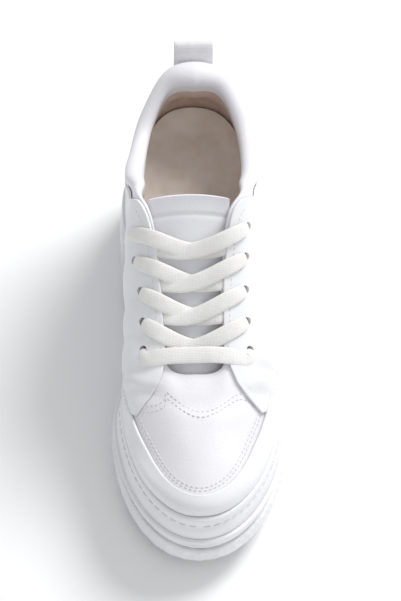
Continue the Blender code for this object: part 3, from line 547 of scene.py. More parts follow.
def wall_top(s):
    """Top of the outsole's side: high at the toe and heel wraps, low along the waist."""
    toe = smoothstep(TOE_WRAP_END - WRAP_TURN, TOE_WRAP_END + WRAP_TURN, s)
    heel = 1.0 - smoothstep(HEEL_WRAP_END - WRAP_TURN, HEEL_WRAP_END + WRAP_TURN, s)
    up = np.maximum(toe, heel)
    low = tread(s) + WAIST_WALL
    return low + (wrap(s) - low) * up


def ground(s):
    return np.maximum(tread(s), 0.0)


def between(low, high, share):
    """Height function at a share of the way between two others."""
    return lambda s: low(s) + (high(s) - low(s)) * share


def raised(base, amount):
    return lambda s: base(s) + amount


# Insets of the sole's edges from the widest outline: side, toe, heel.
WRAP_TOP = np.array((0.9, 1.2, 3.2))
WAIST_TOP = np.array((1.6, 4.0, 1.0))
MIDSOLE_FOOT = np.array((1.9, 2.4, 4.4))
LIP_UNDER = np.array((1.2, 2.4, 5.6))
LIP_EDGE = np.array((0.9, 2.6, 6.6))
LIP_TOP = np.array((1.6, 3.4, 7.6))
RAND_FOOT = np.array((2.6, 4.6, 9.0))
RAND_MIDDLE = np.array((3.6, 5.6, 10.8))
RIM_EDGE = np.array((4.6, 7.2, 12.0))
RIM_TOP = np.array((5.4, 8.2, 12.6))


# The lace: how far its bar and its ends lie from the eyelets along the shoe.
BAR_FORWARD = 5.0
NEAR_SHIFT = 8.5
FAR_SHIFT = 0.5
# The collar's rolled top, as a share of half the wall, and the gap beside a seam.
CAP_RISE = 0.8
SEAM_SHARE = 0.006
LOOP_WIDTH = 21.0
LOOP_THICK = 1.6
LOOP_MIDDLE = 0.2
# The strap's middle line: distance from the heel, height.
LOOP_ROWS = (
    (22.5, 123.0), (23.2, 128.0), (23.2, 133.0), (22.8, 138.0), (21.8, 142.6), (19.8, 145.2),
    (17.2, 143.6), (16.4, 138.0), (17.0, 132.0), (18.0, 127.0), (18.8, 123.0),
)


# Soft creases and swells, as bumps on the skin. The turn is the lay of the fold in degrees.
FOLD_COLUMNS = ("s", "x", "turn", "along", "across", "height")
FOLD_ROWS = (
    (208.0, -6.0, 86.0, 20.0, 3.0, -0.5),
    (214.0, 6.0, 96.0, 18.0, 3.4, 0.35),
    (196.0, -31.0, 60.0, 9.0, 2.6, -0.7),
    (190.0, -33.0, 52.0, 10.0, 2.4, 0.5),
    (184.0, -34.0, 66.0, 10.0, 2.6, -0.7),
    (196.0, 29.0, -62.0, 9.0, 2.6, -0.7),
    (188.0, 31.0, -54.0, 10.0, 2.4, 0.5),
    (182.0, 33.0, -66.0, 10.0, 2.6, -0.7),
    (166.0, 36.0, -48.0, 12.0, 3.0, -0.6),
    (166.0, -37.0, 46.0, 12.0, 3.0, -0.6),
    (150.0, 37.0, -50.0, 14.0, 3.6, -0.6),
    (148.0, -38.0, 54.0, 14.0, 3.6, -0.6),
    (128.0, 36.0, -40.0, 14.0, 4.0, -0.5),
    (126.0, -38.0, 42.0, 14.0, 4.0, -0.5),
    (103.0, 32.0, 20.0, 12.0, 3.2, -0.8),
    (102.0, -37.0, -20.0, 12.0, 3.2, -0.8),
    (78.0, 33.0, 10.0, 16.0, 3.0, -0.5),
    (66.0, -34.0, -10.0, 16.0, 3.0, -0.5),
    (40.0, 25.0, 40.0, 10.0, 3.0, -0.7),
    (40.0, -25.0, -40.0, 10.0, 3.0, -0.7),
)
FOLD_DEPTH = 1.7
FOLD_CURL = 0.02
# Shares of the rib between which the creases fade in, clear of the sole.
FOLD_FADE = (0.3, 0.5)

# Stations of the fine loops round the shoe, and between two columns of a panel.
FINE_STEP = 0.125
FINE = np.arange(0.0, AROUND, FINE_STEP)
SHARP_ANGLE = math.radians(50.0)


def folds(points):
    """Height of the soft creases at plan places, summed."""
    total = np.zeros(len(points))
    for row in FOLD_ROWS:
        fold = dict(zip(FOLD_COLUMNS, row))
        turn = math.radians(fold["turn"])
        ds = points[:, 0] - fold["s"]
        dx = points[:, 1] - fold["x"]
        along = ds * math.cos(turn) + dx * math.sin(turn)
        across = -ds * math.sin(turn) + dx * math.cos(turn)
        bend = across - FOLD_CURL * along**2
        shape = np.exp(-(along / fold["along"]) ** 2 - (bend / fold["across"]) ** 2)
        total += fold["height"] * shape
    return FOLD_DEPTH * total


def soft_skin(stations, shares, distance):
    """The skin moved out by a distance and by the creases."""
    stations = np.asarray(stations, float)
    shares = np.broadcast_to(np.asarray(shares, float), stations.shape)
    lift = folds(skin(stations, shares)) * smoothstep(*FOLD_FADE, shares)
    return offset_skin(stations, shares, distance + lift)


def even_weights(count, samples):
    """Spline weights for samples spread evenly over a count of guide points."""
    return spline_weights(np.arange(count, dtype=float), np.linspace(0.0, count - 1.0, samples))


def turns(sides):
    """Angles of the corners of a section."""
    return [2.0 * math.pi * k / sides for k in range(sides)]


def squared(value, power):
    """A sine or cosine that a power below one makes fuller, so that a section has flat sides."""
    return math.copysign(abs(value) ** power, value)


def grid_faces(rows, columns, wrap=False, close=False):
    """Quads of a grid, row after row, joined round its columns or its rows if asked."""
    faces = []
    for r in range(rows if close else rows - 1):
        here = r * columns
        after = (r + 1) % rows * columns
        for c in range(columns if wrap else columns - 1):
            d = (c + 1) % columns
            faces.append((here + c, here + d, after + d, after + c))
    return faces


def tube_faces(rings, sides, start=0):
    """Quads round a tube of rings, with a cap at each end."""
    last = (rings - 1) * sides
    faces = grid_faces(rings, sides, wrap=True)
    faces += [tuple(reversed(range(sides))), tuple(range(last, last + sides))]
    return [tuple(start + k for k in face) for face in faces]


def link_mesh(name, points, faces):
    """A new object in the scene from points in the shoe's millimetres."""
    mesh = bpy.data.meshes.new(name)
    mesh.from_pydata(to_world(points).tolist(), [], faces)
    made = bpy.data.objects.new(name, mesh)
    bpy.context.scene.collection.objects.link(made)
    return made


def mesh_piece(name, points, faces, materials, node, face_materials=None):
    """A piece of the shoe; it stands for a node unless that is None."""
    piece = link_mesh(name, points, faces)
    mesh = piece.data
    for made in materials:
        mesh.materials.append(made)
    if face_materials is not None:
        mesh.polygons.foreach_set("material_index", np.asarray(face_materials, np.int32))
    work = bmesh.new()
    work.from_mesh(mesh)
    bmesh.ops.recalc_face_normals(work, faces=work.faces)
    work.to_mesh(mesh)
    work.free()
    mesh.shade_smooth()
    mesh.set_sharp_from_angle(angle=SHARP_ANGLE)
    if node:
        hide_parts(node)
    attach(piece, "root")
    return piece


# A panel's rounded edge: share of the edge's width inward, share of the thickness.
EDGE_PROFILE = ((0.0, 0.0), (0.0, 0.72), (0.25, 0.94), (1.0, 1.0))
EDGE_WIDTH = 0.9
NARROWEST = 2.5
END_HEIGHT = 0.55
UNDER_DEPTH = 0.25


def skin_length(stations, low, high):
    """Length along the ribs between two edges, through their middle."""
    a = skin(stations, low)
    b = skin(stations, 0.5 * (low + high))
    c = skin(stations, high)
    return np.linalg.norm(b - a, axis=1) + np.linalg.norm(c - b, axis=1)


def panel(name, stations, low, high, rows, finish, node):
    """A panel with rounded edges on the skin, between two edges given as shares of the rib."""
    count = len(stations)
    width = np.maximum(skin_length(stations, low, high), NARROWEST)
    near = [(inward * EDGE_WIDTH / width, height) for inward, height in EDGE_PROFILE]
    flat = [(share, 1.0) for share in np.linspace(0.0, 1.0, rows)[1:-1]]
    far = [(1.0 - share, height) for share, height in reversed(near)]
    ends = np.ones(count)
    ends[[0, -1]] = END_HEIGHT
    loops = []
    for share, height in near + flat + far:
        distance = PANEL_SEAT + OVERLAY * height * ends
        loops.append(soft_skin(stations, low + (high - low) * share, distance))
    for share in (1.0, 0.5, 0.0):
        loops.append(soft_skin(stations, low + (high - low) * share, PANEL_SEAT - UNDER_DEPTH))
    faces = grid_faces(len(loops), count, close=True)
    faces.append(tuple(r * count for r in range(len(loops))))
    faces.append(tuple(r * count + count - 1 for r in reversed(range(len(loops)))))
    return mesh_piece(name, np.concatenate(loops), faces, [finish], node)


# Stitches: pitch along the seam, then length, width and height of one bar of thread.
SEAM_STITCH = (2.7, 1.7, 0.6, 0.35)
SIDE_STITCH = (2.7, 1.7, 0.5, 0.3)
BAND_STITCH = (5.6, 3.9, 0.8, 0.55)
# How full a bar of thread is at shares of its length.
STITCH_PROFILE = ((0.0, 0.25), (0.16, 0.8), (0.5, 1.0), (0.84, 0.8), (1.0, 0.25))
STITCH_SIDES = 6
STITCH_STEP = 0.05
STITCH_LIFT = 0.1


def run_along(path):
    """Length run so far at each point of a path."""
    steps = np.linalg.norm(np.diff(path, axis=0), axis=1)
    return np.concatenate([[0.0], np.cumsum(steps)])


def at_run(place, run, values):
    return np.array([np.interp(place, run, values[:, k]) for k in range(3)])


def row_stitches(path, out, size):
    """Points and faces of a row of short bars of thread along a path."""
    pitch, length, width, height = size
    run = run_along(path)
    points, faces = [], []
    for place in np.arange(pitch * 0.5, run[-1], pitch):
        a = at_run(place - length / 2, run, path)
        b = at_run(place + length / 2, run, path)
        up = unit(at_run(place, run, out))
        across = np.cross(up, unit(b - a))
        faces += tube_faces(len(STITCH_PROFILE), STITCH_SIDES, len(points))
        for share, full in STITCH_PROFILE:
            centre = a + (b - a) * share
            for turn in turns(STITCH_SIDES):
                side = across * math.cos(turn) * width / 2 * full
                points.append(centre + side + up * math.sin(turn) * height * full)
    return points, faces


def stitch_piece(name, rows):
    """Rows of stitches as one piece; each row is a path, its outward directions and a size."""
    points, faces = [], []
    for path, out, size in rows:
        more, quads = row_stitches(path, out, size)
        faces += [tuple(len(points) + k for k in quad) for quad in quads]
        points += more
    return mesh_piece(name, points, faces, [THREAD], None)


def skin_row(stations, shares, height):
    """A stitch path on the skin with its outward directions."""
    path = soft_skin(stations, shares, height)
    return path, soft_skin(stations, shares, height + 1.0) - path


def skin_line(places, samples):
    """A stitch path on the skin through plan places."""
    found = np.array([find_on_skin(s, x) for s, x in places])
    turn = np.where(found[:, 0] > HEEL_STATION, found[:, 0] - AROUND, found[:, 0])
    weights = even_weights(len(places), samples)
    return skin_row(np.mod(weights @ turn, AROUND), weights @ found[:, 1], STITCH_LIFT)


# Materials

EVEN = (1.0, 1.0, 1.0)
NOISE_ROUGHNESS = 0.55
TINT_RAMP = (0.3, 0.7)


class Finish:
    """A procedural material: one Principled shader, its textures laid on object coordinates."""

    def __init__(self, name, colour, roughness):
        self.material = bpy.data.materials.new(name)
        self.material.use_nodes = True
        self.material.diffuse_color = (*colour, 1.0)
        self.nodes = self.material.node_tree.nodes
        self.links = self.material.node_tree.links
        self.shader = self.nodes["Principled BSDF"]
        self.constant("Base Color", (*colour, 1.0))
        self.constant("Roughness", roughness)

    def constant(self, socket, value):
        self.shader.inputs[socket].default_value = value

    def node(self, kind, output, **inputs):
        """A new node with its inputs set or linked; returns one of its outputs."""
        made = self.nodes.new("ShaderNode" + kind)
        for name, value in inputs.items():
            socket = made.inputs[name.replace("_", " ")]
            if isinstance(value, bpy.types.NodeSocket):
                self.links.new(value, socket)
            else:
                socket.default_value = value
        return made.outputs[output]

    def place(self, stretch=EVEN):
        """Object coordinates, stretched along the axes."""
        return self.node("Mapping", "Vector", Vector=self.node("TexCoord", "Object"), Scale=stretch)

    def noise(self, scale, detail=4.0, stretch=EVEN):
        sizes = {"Scale": scale, "Detail": detail, "Roughness": NOISE_ROUGHNESS}
        return self.node("TexNoise", "Fac", Vector=self.place(stretch), **sizes)

    def cells(self, scale):
        return self.node("TexVoronoi", "Distance", Vector=self.place(), Scale=scale)

    def stripes(self, scale, direction, stretch=EVEN, distortion=0.0):
        sizes = {"Scale": scale, "Distortion": distortion}
        made = self.node("TexWave", "Fac", Vector=self.place(stretch), **sizes)
        made.node.bands_direction = direction
        return made

    def combine(self, operation, first, second):
        """Two heights, or a height and a number, combined."""
        made = self.nodes.new("ShaderNodeMath")
        made.operation = operation
        self.links.new(first, made.inputs[0])
        if isinstance(second, float):
            made.inputs[1].default_value = second
        else:
            self.links.new(second, made.inputs[1])
        return made.outputs["Value"]

    def finish(self, socket, value):
        """A value that varies over the surface, linked to the shader."""
        self.links.new(value, self.shader.inputs[socket])

    def bump(self, height, strength, distance):
        sizes = {"Strength": strength, "Distance": distance}
        self.finish("Normal", self.node("Bump", "Normal", Height=height, **sizes))

    def tint(self, factor, dark, light):
        """Colour that wanders between two tones."""
        made = self.node("ValToRGB", "Color", Fac=factor)
        for stop, place, tone in zip(made.node.color_ramp.elements, TINT_RAMP, (dark, light)):
            stop.position = place
            stop.color = (*tone, 1.0)
        self.finish("Base Color", made)

    def vary_roughness(self, factor, low, high):
        self.finish("Roughness", self.node("MapRange", "Result", Value=factor, To_Min=low, To_Max=high))


def leather(name, dark, light, grain, depth, rough=(0.38, 0.52), wrinkle=0.0):
    """Smooth white leather: fine pores, slow waves and, if asked, level wrinkles."""
    made = Finish(name, light, rough[0])
    pores = made.combine("MULTIPLY", made.cells(grain), 0.5)
    waves = made.combine("MULTIPLY", made.noise(60.0, 3.0), 1.2)
    height = made.combine("ADD", pores, waves)
    if wrinkle:
        level = made.combine("MULTIPLY", made.noise(90.0, 3.0, (1.0, 1.0, 7.0)), wrinkle)
        height = made.combine("ADD", height, level)
    made.bump(height, 0.5, depth)
    made.tint(made.noise(25.0, 3.0), dark, light)
    made.vary_roughness(made.noise(140.0), *rough)
    return made.material


def moulded(name, dark, light, depth, rough=(0.42, 0.55)):
    """White foam or rubber, faintly mottled."""
    made = Finish(name, light, rough[0])
    made.bump(made.noise(900.0, 2.0), 0.35, depth)
    made.tint(made.noise(30.0, 3.0), dark, light)
    made.vary_roughness(made.noise(200.0), *rough)
    return made.material


def crosshatched(name, dark, light):
    """Rubber wrap with a fine diamond pattern pressed into its side."""
    made = Finish(name, light, 0.5)
    one = made.stripes(95.0, "DIAGONAL")
    two = made.stripes(95.0, "DIAGONAL", (-1.0, -1.0, 1.0))
    made.bump(made.combine("MAXIMUM", one, two), 0.45, 0.0005)
    made.tint(made.noise(40.0), dark, light)
    return made.material


def woven(name, dark, light, scale, depth, fuzz=0.3):
    """Cotton: crossing threads, a soft fuzz and a slight unevenness."""
    made = Finish(name, light, 0.85)
    made.constant("Sheen Weight", fuzz)
    made.constant("Sheen Roughness", 0.5)
    one = made.stripes(scale, "X", distortion=1.0)
    two = made.stripes(scale, "Y", distortion=1.0)
    threads = made.combine("MULTIPLY", one, two)
    made.bump(made.combine("ADD", threads, made.noise(700.0)), 0.5, depth)
    made.tint(made.noise(120.0, 3.0), dark, light)
    made.vary_roughness(made.noise(300.0), 0.75, 0.95)
    return made.material


def paper(name, dark, light):
    """The pale floor, almost even."""
    made = Finish(name, (0.94, 0.94, 0.94), 0.9)
    made.tint(made.noise(3.0), dark, light)
    return made.material


SOFT_WHITE = leather("vamp_leather", (0.80, 0.80, 0.84), (0.88, 0.88, 0.91), 900.0, 0.00022)
PANEL_WHITE = leather("panel_leather", (0.82, 0.82, 0.85), (0.90, 0.90, 0.92), 900.0, 0.0002)
COUNTER_WHITE = leather(
    "counter_leather", (0.80, 0.80, 0.84), (0.89, 0.89, 0.92), 520.0, 0.0005, (0.42, 0.58), 1.6,
)
COLLAR_WHITE = leather("collar_leather", (0.80, 0.79, 0.83), (0.88, 0.87, 0.90), 800.0, 0.00025)
LINING = woven("heel_lining", (0.55, 0.40, 0.32), (0.68, 0.53, 0.44), 600.0, 0.0002, 0.2)
BED = woven("footbed_cloth", (0.80, 0.72, 0.64), (0.88, 0.83, 0.77), 500.0, 0.0002, 0.2)
FOAM = moulded("midsole_foam", (0.82, 0.82, 0.84), (0.89, 0.89, 0.91), 0.0001)
BAND = moulded("band_rubber", (0.82, 0.82, 0.85), (0.90, 0.90, 0.92), 0.0001, (0.35, 0.48))
WRAP = crosshatched("wrap_rubber", (0.82, 0.82, 0.84), (0.89, 0.89, 0.91))
COTTON = woven("lace_cotton", (0.84, 0.83, 0.80), (0.93, 0.92, 0.90), 420.0, 0.0003)
THREAD = woven("stitch_thread", (0.70, 0.69, 0.70), (0.80, 0.79, 0.80), 900.0, 0.0001, 0.1)
STRAP = woven("strap_web", (0.74, 0.73, 0.75), (0.84, 0.83, 0.85), 300.0, 0.0003)


# Sole


def fan_cap(start, count):
    """A cap across a loop that is symmetric about its first point."""
    faces = [(start, start + 1, start + count - 1)]
    for i in range(1, count // 2 - 1):
        faces.append((start + i, start + i + 1, start + count - i - 1, start + count - i))
    faces.append((start + count // 2 - 1, start + count // 2, start + count // 2 + 1))
    return faces


def stacked(name, loops, finish, node, ring=False):
    """A piece of stacked loops, capped, or a ring whose section closes."""
    count = len(loops[0])
    faces = grid_faces(len(loops), count, wrap=True, close=ring)
    if not ring:
        faces += fan_cap(0, count) + fan_cap((len(loops) - 1) * count, count)
    return mesh_piece(name, np.concatenate(loops), faces, [finish], node)


def sole_loops(rows):
    """Loops round the sole: each row is an inset, more inset, a height and a rise over it."""
    return [
        sole_loop(FINE, inset + more, raised(height, rise))
        for inset, more, height, rise in rows
    ]


def dress_midsole():
    """The platform: a shallow recess along the waist, then the step out to the lip."""
    bare = WAIST_TOP + 0.6
    low = raised(wall_top, 0.35)
    seat = WRAP_TOP + (TRAY_WALL + 1.2)
    loops = sole_loops((
        (seat, 1.0, ground, TRAY_FLOOR + 0.6),
        (seat, 0.0, ground, TRAY_FLOOR + 0.8),
        (bare, 0.8, low, 0.0),
        (bare, 0.3, low, 0.5),
        (MIDSOLE_FOOT, 0.0, between(low, lip, 0.35), 0.0),
        (MIDSOLE_FOOT, -0.1, between(low, lip, 0.6), 0.0),
        (LIP_UNDER, 0.4, lip, -3.9),
        (LIP_UNDER, 0.0, lip, -3.0),
        (LIP_EDGE, 0.05, lip, -2.2),
        (LIP_EDGE, 0.0, lip, -1.5),
        (LIP_EDGE, 0.3, lip, -0.8),
        (LIP_TOP, 0.0, lip, -0.35),
        (LIP_TOP, 1.6, lip, -0.35),
    ))
    stacked("midsole_foam_block", loops, FOAM, "midsole")


def dress_rand():
    """The band with its rolled rim, and the stitches in the groove under it."""
    inner = FOOT_INSET - RAND_CLEARANCE
    groove = RAND_MIDDLE + (RIM_EDGE - RAND_MIDDLE) * 0.55
    loops = sole_loops((
        (RAND_FOOT, 0.4, lip, 0.0),
        (RAND_FOOT, 0.0, lip, 0.6),
        (RAND_MIDDLE, -0.2, between(lip, rim, 0.45), 0.0),
        (groove, -0.1, rim, -6.2),
        (groove, 0.35, rim, -5.2),
        (groove, 0.35, rim, -4.4),
        (RIM_EDGE, -0.3, rim, -3.2),
        (RIM_EDGE, -0.1, rim, -1.6),
        (RIM_EDGE, 0.3, rim, -0.6),
        (RIM_TOP, 0.0, rim, -0.05),
        (RIM_TOP + (inner - RIM_TOP) * 0.5, 0.0, rim, 0.0),
        (inner, -0.3, rim, -0.3),
        (inner, 0.0, rim, -1.0),
        (inner, 0.0, lip, 0.0),
    ))
    stacked("cup_band", loops, BAND, "rand", ring=True)
    path, inside = sole_loops(((groove, 0.2, rim, -4.8), (groove, 1.2, rim, -4.8)))
    path = np.vstack([path, path[:1]])
    inside = np.vstack([inside, inside[:1]])
    stitch_piece("band_stitches", [(path, path - inside, BAND_STITCH)])


def dress_outsole():
    """The tray keeps its solid; only its finish is new."""
    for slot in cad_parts["outsole"].material_slots:
        slot.material = WRAP


# Upper

OUTER_SHARES = (0.0, 0.14, *np.linspace(0.2, 0.9, 22), 0.93, 0.95, 0.965, 0.98, 0.99, 1.0)
INNER_SHARES = (1.0, 0.985, 0.96, 0.93, 0.9, *np.linspace(0.86, 0.2, 16), 0.1, 0.0)
# Angle between the rows over the collar's roll, and how many rows of leather turn in behind it.
ROLL_STEP = 18.0
LEATHER_INSIDE = 3
# The panels' edges: above the rim, and short of the station where two of them meet.
ABOVE_RIM = 0.5
PUNCH_REACH = 6.0
PUNCH_SIDES = 20


def dress_upper():
    """One hollow skin: leather outside and over the collar, lining inside."""
    full = np.ones(len(FINE))
    loops = [soft_skin(FINE, full * v, flush(FINE, full * v)) for v in OUTER_SHARES]
    outer_edge = loops[-1]
    inner_edge = offset_skin(FINE, full, -wall(FINE, full))
    rise = unit(skin(FINE, full) - skin(FINE, full * 0.98))
    centre = 0.5 * (outer_edge + inner_edge)
    reach = outer_edge - centre
    radius = np.linalg.norm(reach, axis=1)[:, None]
    for angle in np.arange(ROLL_STEP, 180.0, ROLL_STEP):
        turn = math.radians(angle)
        loops.append(centre + reach * math.cos(turn) + rise * radius * CAP_RISE * math.sin(turn))
    leather_rows = len(loops) + LEATHER_INSIDE
    loops += [offset_skin(FINE, full * v, -wall(FINE, full * v)) for v in INNER_SHARES]
    faces = grid_faces(len(loops), len(FINE), wrap=True, close=True)
    kinds = [0 if k // len(FINE) < leather_rows else 1 for k in range(len(faces))]
    materials = [COLLAR_WHITE, LINING]
    return mesh_piece("upper_skin", np.concatenate(loops), faces, materials, "upper", kinds)


def dress_panels():
    """Mudguard, heel counter and the two quarters; returns the quarters."""
    stations = np.arange(-COUNTER_FRONT + 0.1, COUNTER_FRONT - 0.05, FINE_STEP)
    low, high = rim_share(stations, ABOVE_RIM), mudguard_share(stations) - SEAM_SHARE
    panel("mudguard_panel", stations, low, high, 14, PANEL_WHITE, "mudguard")
    stations = np.arange(COUNTER_FRONT + 0.02, AROUND - COUNTER_FRONT, FINE_STEP)
    low, high = rim_share(stations, ABOVE_RIM), counter_share(stations) - SEAM_SHARE
    panel("counter_panel", stations, low, high, 20, COUNTER_WHITE, "heel_counter")
    pieces = []
    for node, side in (("quarter_lateral", 1.0), ("quarter_medial", -1.0)):
        station = np.arange(flap_places(side)[0][0], QUARTER_BACK, FINE_STEP)
        stations = on_side(station, side)
        high = 1.0 - (1.0 - QUARTER_TOP) * smoothstep(COLLAR_FROM, FLUSH_FROM, station)
        low = np.minimum(quarter_foot(stations, side) + SEAM_SHARE, high - 0.02)
        pieces.append(panel(node + "_panel", stations, low, high, 26, PANEL_WHITE, node))
    return pieces


def punch(pieces):
    """Five eyelet holes on each side through the given pieces."""
    points, faces = [], []
    for point, out in eyelet_places():
        side = unit(np.cross(out, (0.0, 0.0, 1.0)))
        other = np.cross(out, side)
        start = len(points)
        faces += [tuple(start + k for k in quad) for quad in grid_faces(2, PUNCH_SIDES, wrap=True)]
        faces.append(tuple(range(start, start + PUNCH_SIDES)))
        faces.append(tuple(reversed(range(start + PUNCH_SIDES, start + 2 * PUNCH_SIDES))))
        for reach in (-PUNCH_REACH, PUNCH_REACH):
            for turn in turns(PUNCH_SIDES):
                spoke = side * math.cos(turn) + other * math.sin(turn)
                points.append(point + out * reach + spoke * EYELET_BORE / 2.0)
    cutter = link_mesh("punch", points, faces)
    for piece in pieces:
        cut = piece.modifiers.new("cut", "BOOLEAN")
        cut.object = cutter
        cut.operation = "DIFFERENCE"
        cut.solver = "EXACT"
        graph = bpy.context.evaluated_depsgraph_get()
        made = bpy.data.meshes.new_from_object(piece.evaluated_get(graph))
        piece.modifiers.clear()
        piece.data = made
        made.set_sharp_from_angle(angle=SHARP_ANGLE)
    bpy.data.objects.remove(cutter)


# The seams' stitches: stations round the toe and along the sides, and shares beside an edge.
TOE_SEAM_END = 3.6
TOE_SEAM_GAPS = (0.03, 0.055)
CROSS_SEAM = ((201.0, -32.0), (201.8, -20.0), (202.2, -3.0), (201.8, 15.0), (201.0, 27.5))
CROSS_SEAM_GAP = 3.0
FOOT_SEAM = (4.0, 10.8)
FOOT_SEAM_GAP = 0.03
THROAT_SEAM = (2.6, 8.4)
THROAT_SEAM_SHARE = 0.955


def dress_stitches():
    """Rows of thread beside the seams that the photo shows."""
    stations = np.arange(-TOE_SEAM_END, TOE_SEAM_END + 0.01, STITCH_STEP)
    top = mudguard_share(stations)
    rows = [(*skin_row(stations, top + gap, STITCH_LIFT), SEAM_STITCH) for gap in TOE_SEAM_GAPS]
    stitch_piece("toe_stitches", rows)
    rows = []
    for shift in (0.0, CROSS_SEAM_GAP):
        path, out = skin_line([(s + shift, x) for s, x in CROSS_SEAM], 90)
        rows.append((path, out, SEAM_STITCH))
    stitch_piece("cross_stitches", rows)
    rows = []
    for side in (1.0, -1.0):
        for seam in (FOOT_SEAM, THROAT_SEAM):
            station = np.arange(*seam, STITCH_STEP)
            stations = on_side(station, side)
            if seam is FOOT_SEAM:
                shares = mudguard_share(stations) - FOOT_SEAM_GAP
            else:
                shares = np.full(len(stations), THROAT_SEAM_SHARE)
            rows.append((*skin_row(stations, shares, PANEL_SEAT + OVERLAY), SIDE_STITCH))
    stitch_piece("quarter_stitches", rows)


# Tongue and footbed

TONGUE_THICK = 3.6
TONGUE_SAMPLES = 90
TONGUE_ACROSS = 41
# The tongue's sides thin out, its top edge rounds off, and one line is sewn across it.
TONGUE_THINNING = 0.45
TONGUE_END = 0.35
END_ROUND = 2.2
SIDE_ROUND = 0.06
SEWN_LINE = 10.5
SEWN_WIDTH = 0.9
SEWN_DEPTH = 0.7


def dress_tongue():
    """A padded tongue with a rounded edge and one sewn line across its top."""
    weights = even_weights(len(TONGUE_ROWS), TONGUE_SAMPLES)
    names = ("s", "half", "z", "middle")
    s, half, z, middle = (weights @ column(TONGUE_ROWS, TONGUE_COLUMNS, name) for name in names)
    slope = np.gradient(z, s)
    lift = unit(np.stack([-slope, np.zeros(len(s)), np.ones(len(s))], 1))
    across = np.linspace(-1.0, 1.0, TONGUE_ACROSS)
    run = run_along(np.column_stack([s, z]))
    from_top = run[-1] - run
    groove = SEWN_DEPTH * np.exp(-((from_top - SEWN_LINE) / SEWN_WIDTH) ** 2)
    end = np.sqrt(np.clip(from_top / END_ROUND, 0.0, 1.0))
    crown = TONGUE_THICK * (1.0 - across**2)
    round_edge = np.sqrt(np.clip((1.0 - np.abs(across)) / SIDE_ROUND, 0.0, 1.0))
    top, under = [], []
    for i in range(len(s)):
        thick = TONGUE_THICK * (1.0 - TONGUE_THINNING * across**4)
        thick = thick * (TONGUE_END + (1.0 - TONGUE_END) * end[i])
        x = middle[i] + across * half[i]
        base = np.column_stack([np.full(TONGUE_ACROSS, s[i]), x, z[i] - TONGUE_THICK + crown])
        full = thick * (0.5 + 0.5 * round_edge)
        top.append(base + lift[i] * (full - groove[i] - thick)[:, None])
        under.append(base - lift[i] * full[:, None])
    loops = top + under[::-1]
    count = TONGUE_ACROSS
    faces = grid_faces(len(loops), count, close=True)
    for edge in (0, count - 1):
        for r in range(len(s) - 1):
            a, b = r * count + edge, (r + 1) * count + edge
            c, d = (len(loops) - 2 - r) * count + edge, (len(loops) - 1 - r) * count + edge
            faces.append((a, b, c, d))
    mesh_piece("tongue_pad", np.concatenate(loops), faces, [SOFT_WHITE], "tongue")


# The footbed stands off the upper's wall, and its middle is flat inside a curved rim.
BED_STEP = 0.25
BED_GAP = 0.9
BED_BEVEL = 0.8
BED_SPINE = (45.0, 235.0)
BED_RIM = 0.98


def dress_insole():
    """The cupped footbed, smooth from rim to rim."""
    stations = np.arange(0.0, AROUND, BED_STEP)
    count = len(stations)
    rough_s = skin(stations, np.full(count, 0.2))[:, 0]
    top = share_at_height(stations, bed_height(rough_s) + cup_rise(rough_s))
    inward = WALL + BED_GAP
    loops = [offset_skin(stations, top * share, -inward) for share in (0.3, 0.5, 0.7, 0.85, 0.97)]
    edge = offset_skin(stations, top, -(inward + BED_BEVEL))
    loops.append(edge)
    middle = 0.5 * (edge + edge[(-np.arange(count)) % count])
    spine = np.column_stack([np.clip(edge[:, 0], *BED_SPINE), middle[:, 1]])
    for reach in np.linspace(0.96, 0.1, 14):
        places = spine + (edge[:, :2] - spine) * reach
        rise = smoothstep(0.55, 1.0, reach) * BED_RIM
        z = bed_height(places[:, 0]) + cup_rise(places[:, 0]) * rise
        loops.append(np.column_stack([places, z]))
    stacked("footbed", loops, BED, "insole")


# Lace and loop

LACE_WIDTH = 8.8
LACE_THICK = 1.3
# Widths where the tape is pinched in its hole, leaves it, and lies flat beside it.
HOLE_WIDTH = 3.6
MOUTH_WIDTH = 4.2
FLAT_WIDTH = 7.6
TAPE_WIDTHS = (2.5, 9.0)
TAPE_SAMPLES = 64
TAPE_SIDES = 20
TAPE_SAG = 0.35
HOLE_DEPTH = 3.0
CROWN_LIFT = 2.6
OVER_LIFT = 4.0
FACING_LIFTS = (4.1, 3.8, 4.0, 4.9)


def tape(name, controls, ups, widths, node):
    """A soft flat tape through control points, with its width at each."""
    weights = even_weights(len(controls), TAPE_SAMPLES)
    path = weights @ np.array(controls)
    width = np.clip(weights @ np.array(widths), *TAPE_WIDTHS)
    ahead = unit(np.gradient(path, axis=0))
    across = unit(np.cross(ahead, weights @ np.array(ups)))
    up = np.cross(across, ahead)
    points = []
    for k in range(len(path)):
        for turn in turns(TAPE_SIDES):
            a = squared(math.cos(turn), 0.55) * width[k] / 2.0
            b = squared(math.sin(turn), 0.8) * LACE_THICK / 2.0
            sag = TAPE_SAG * (abs(a) / (width[k] / 2.0)) ** 2
            points.append(path[k] + across[k] * a + up[k] * (b - sag))
    faces = tube_faces(len(path), TAPE_SIDES)
    return mesh_piece(name, points, faces, [COTTON], node)


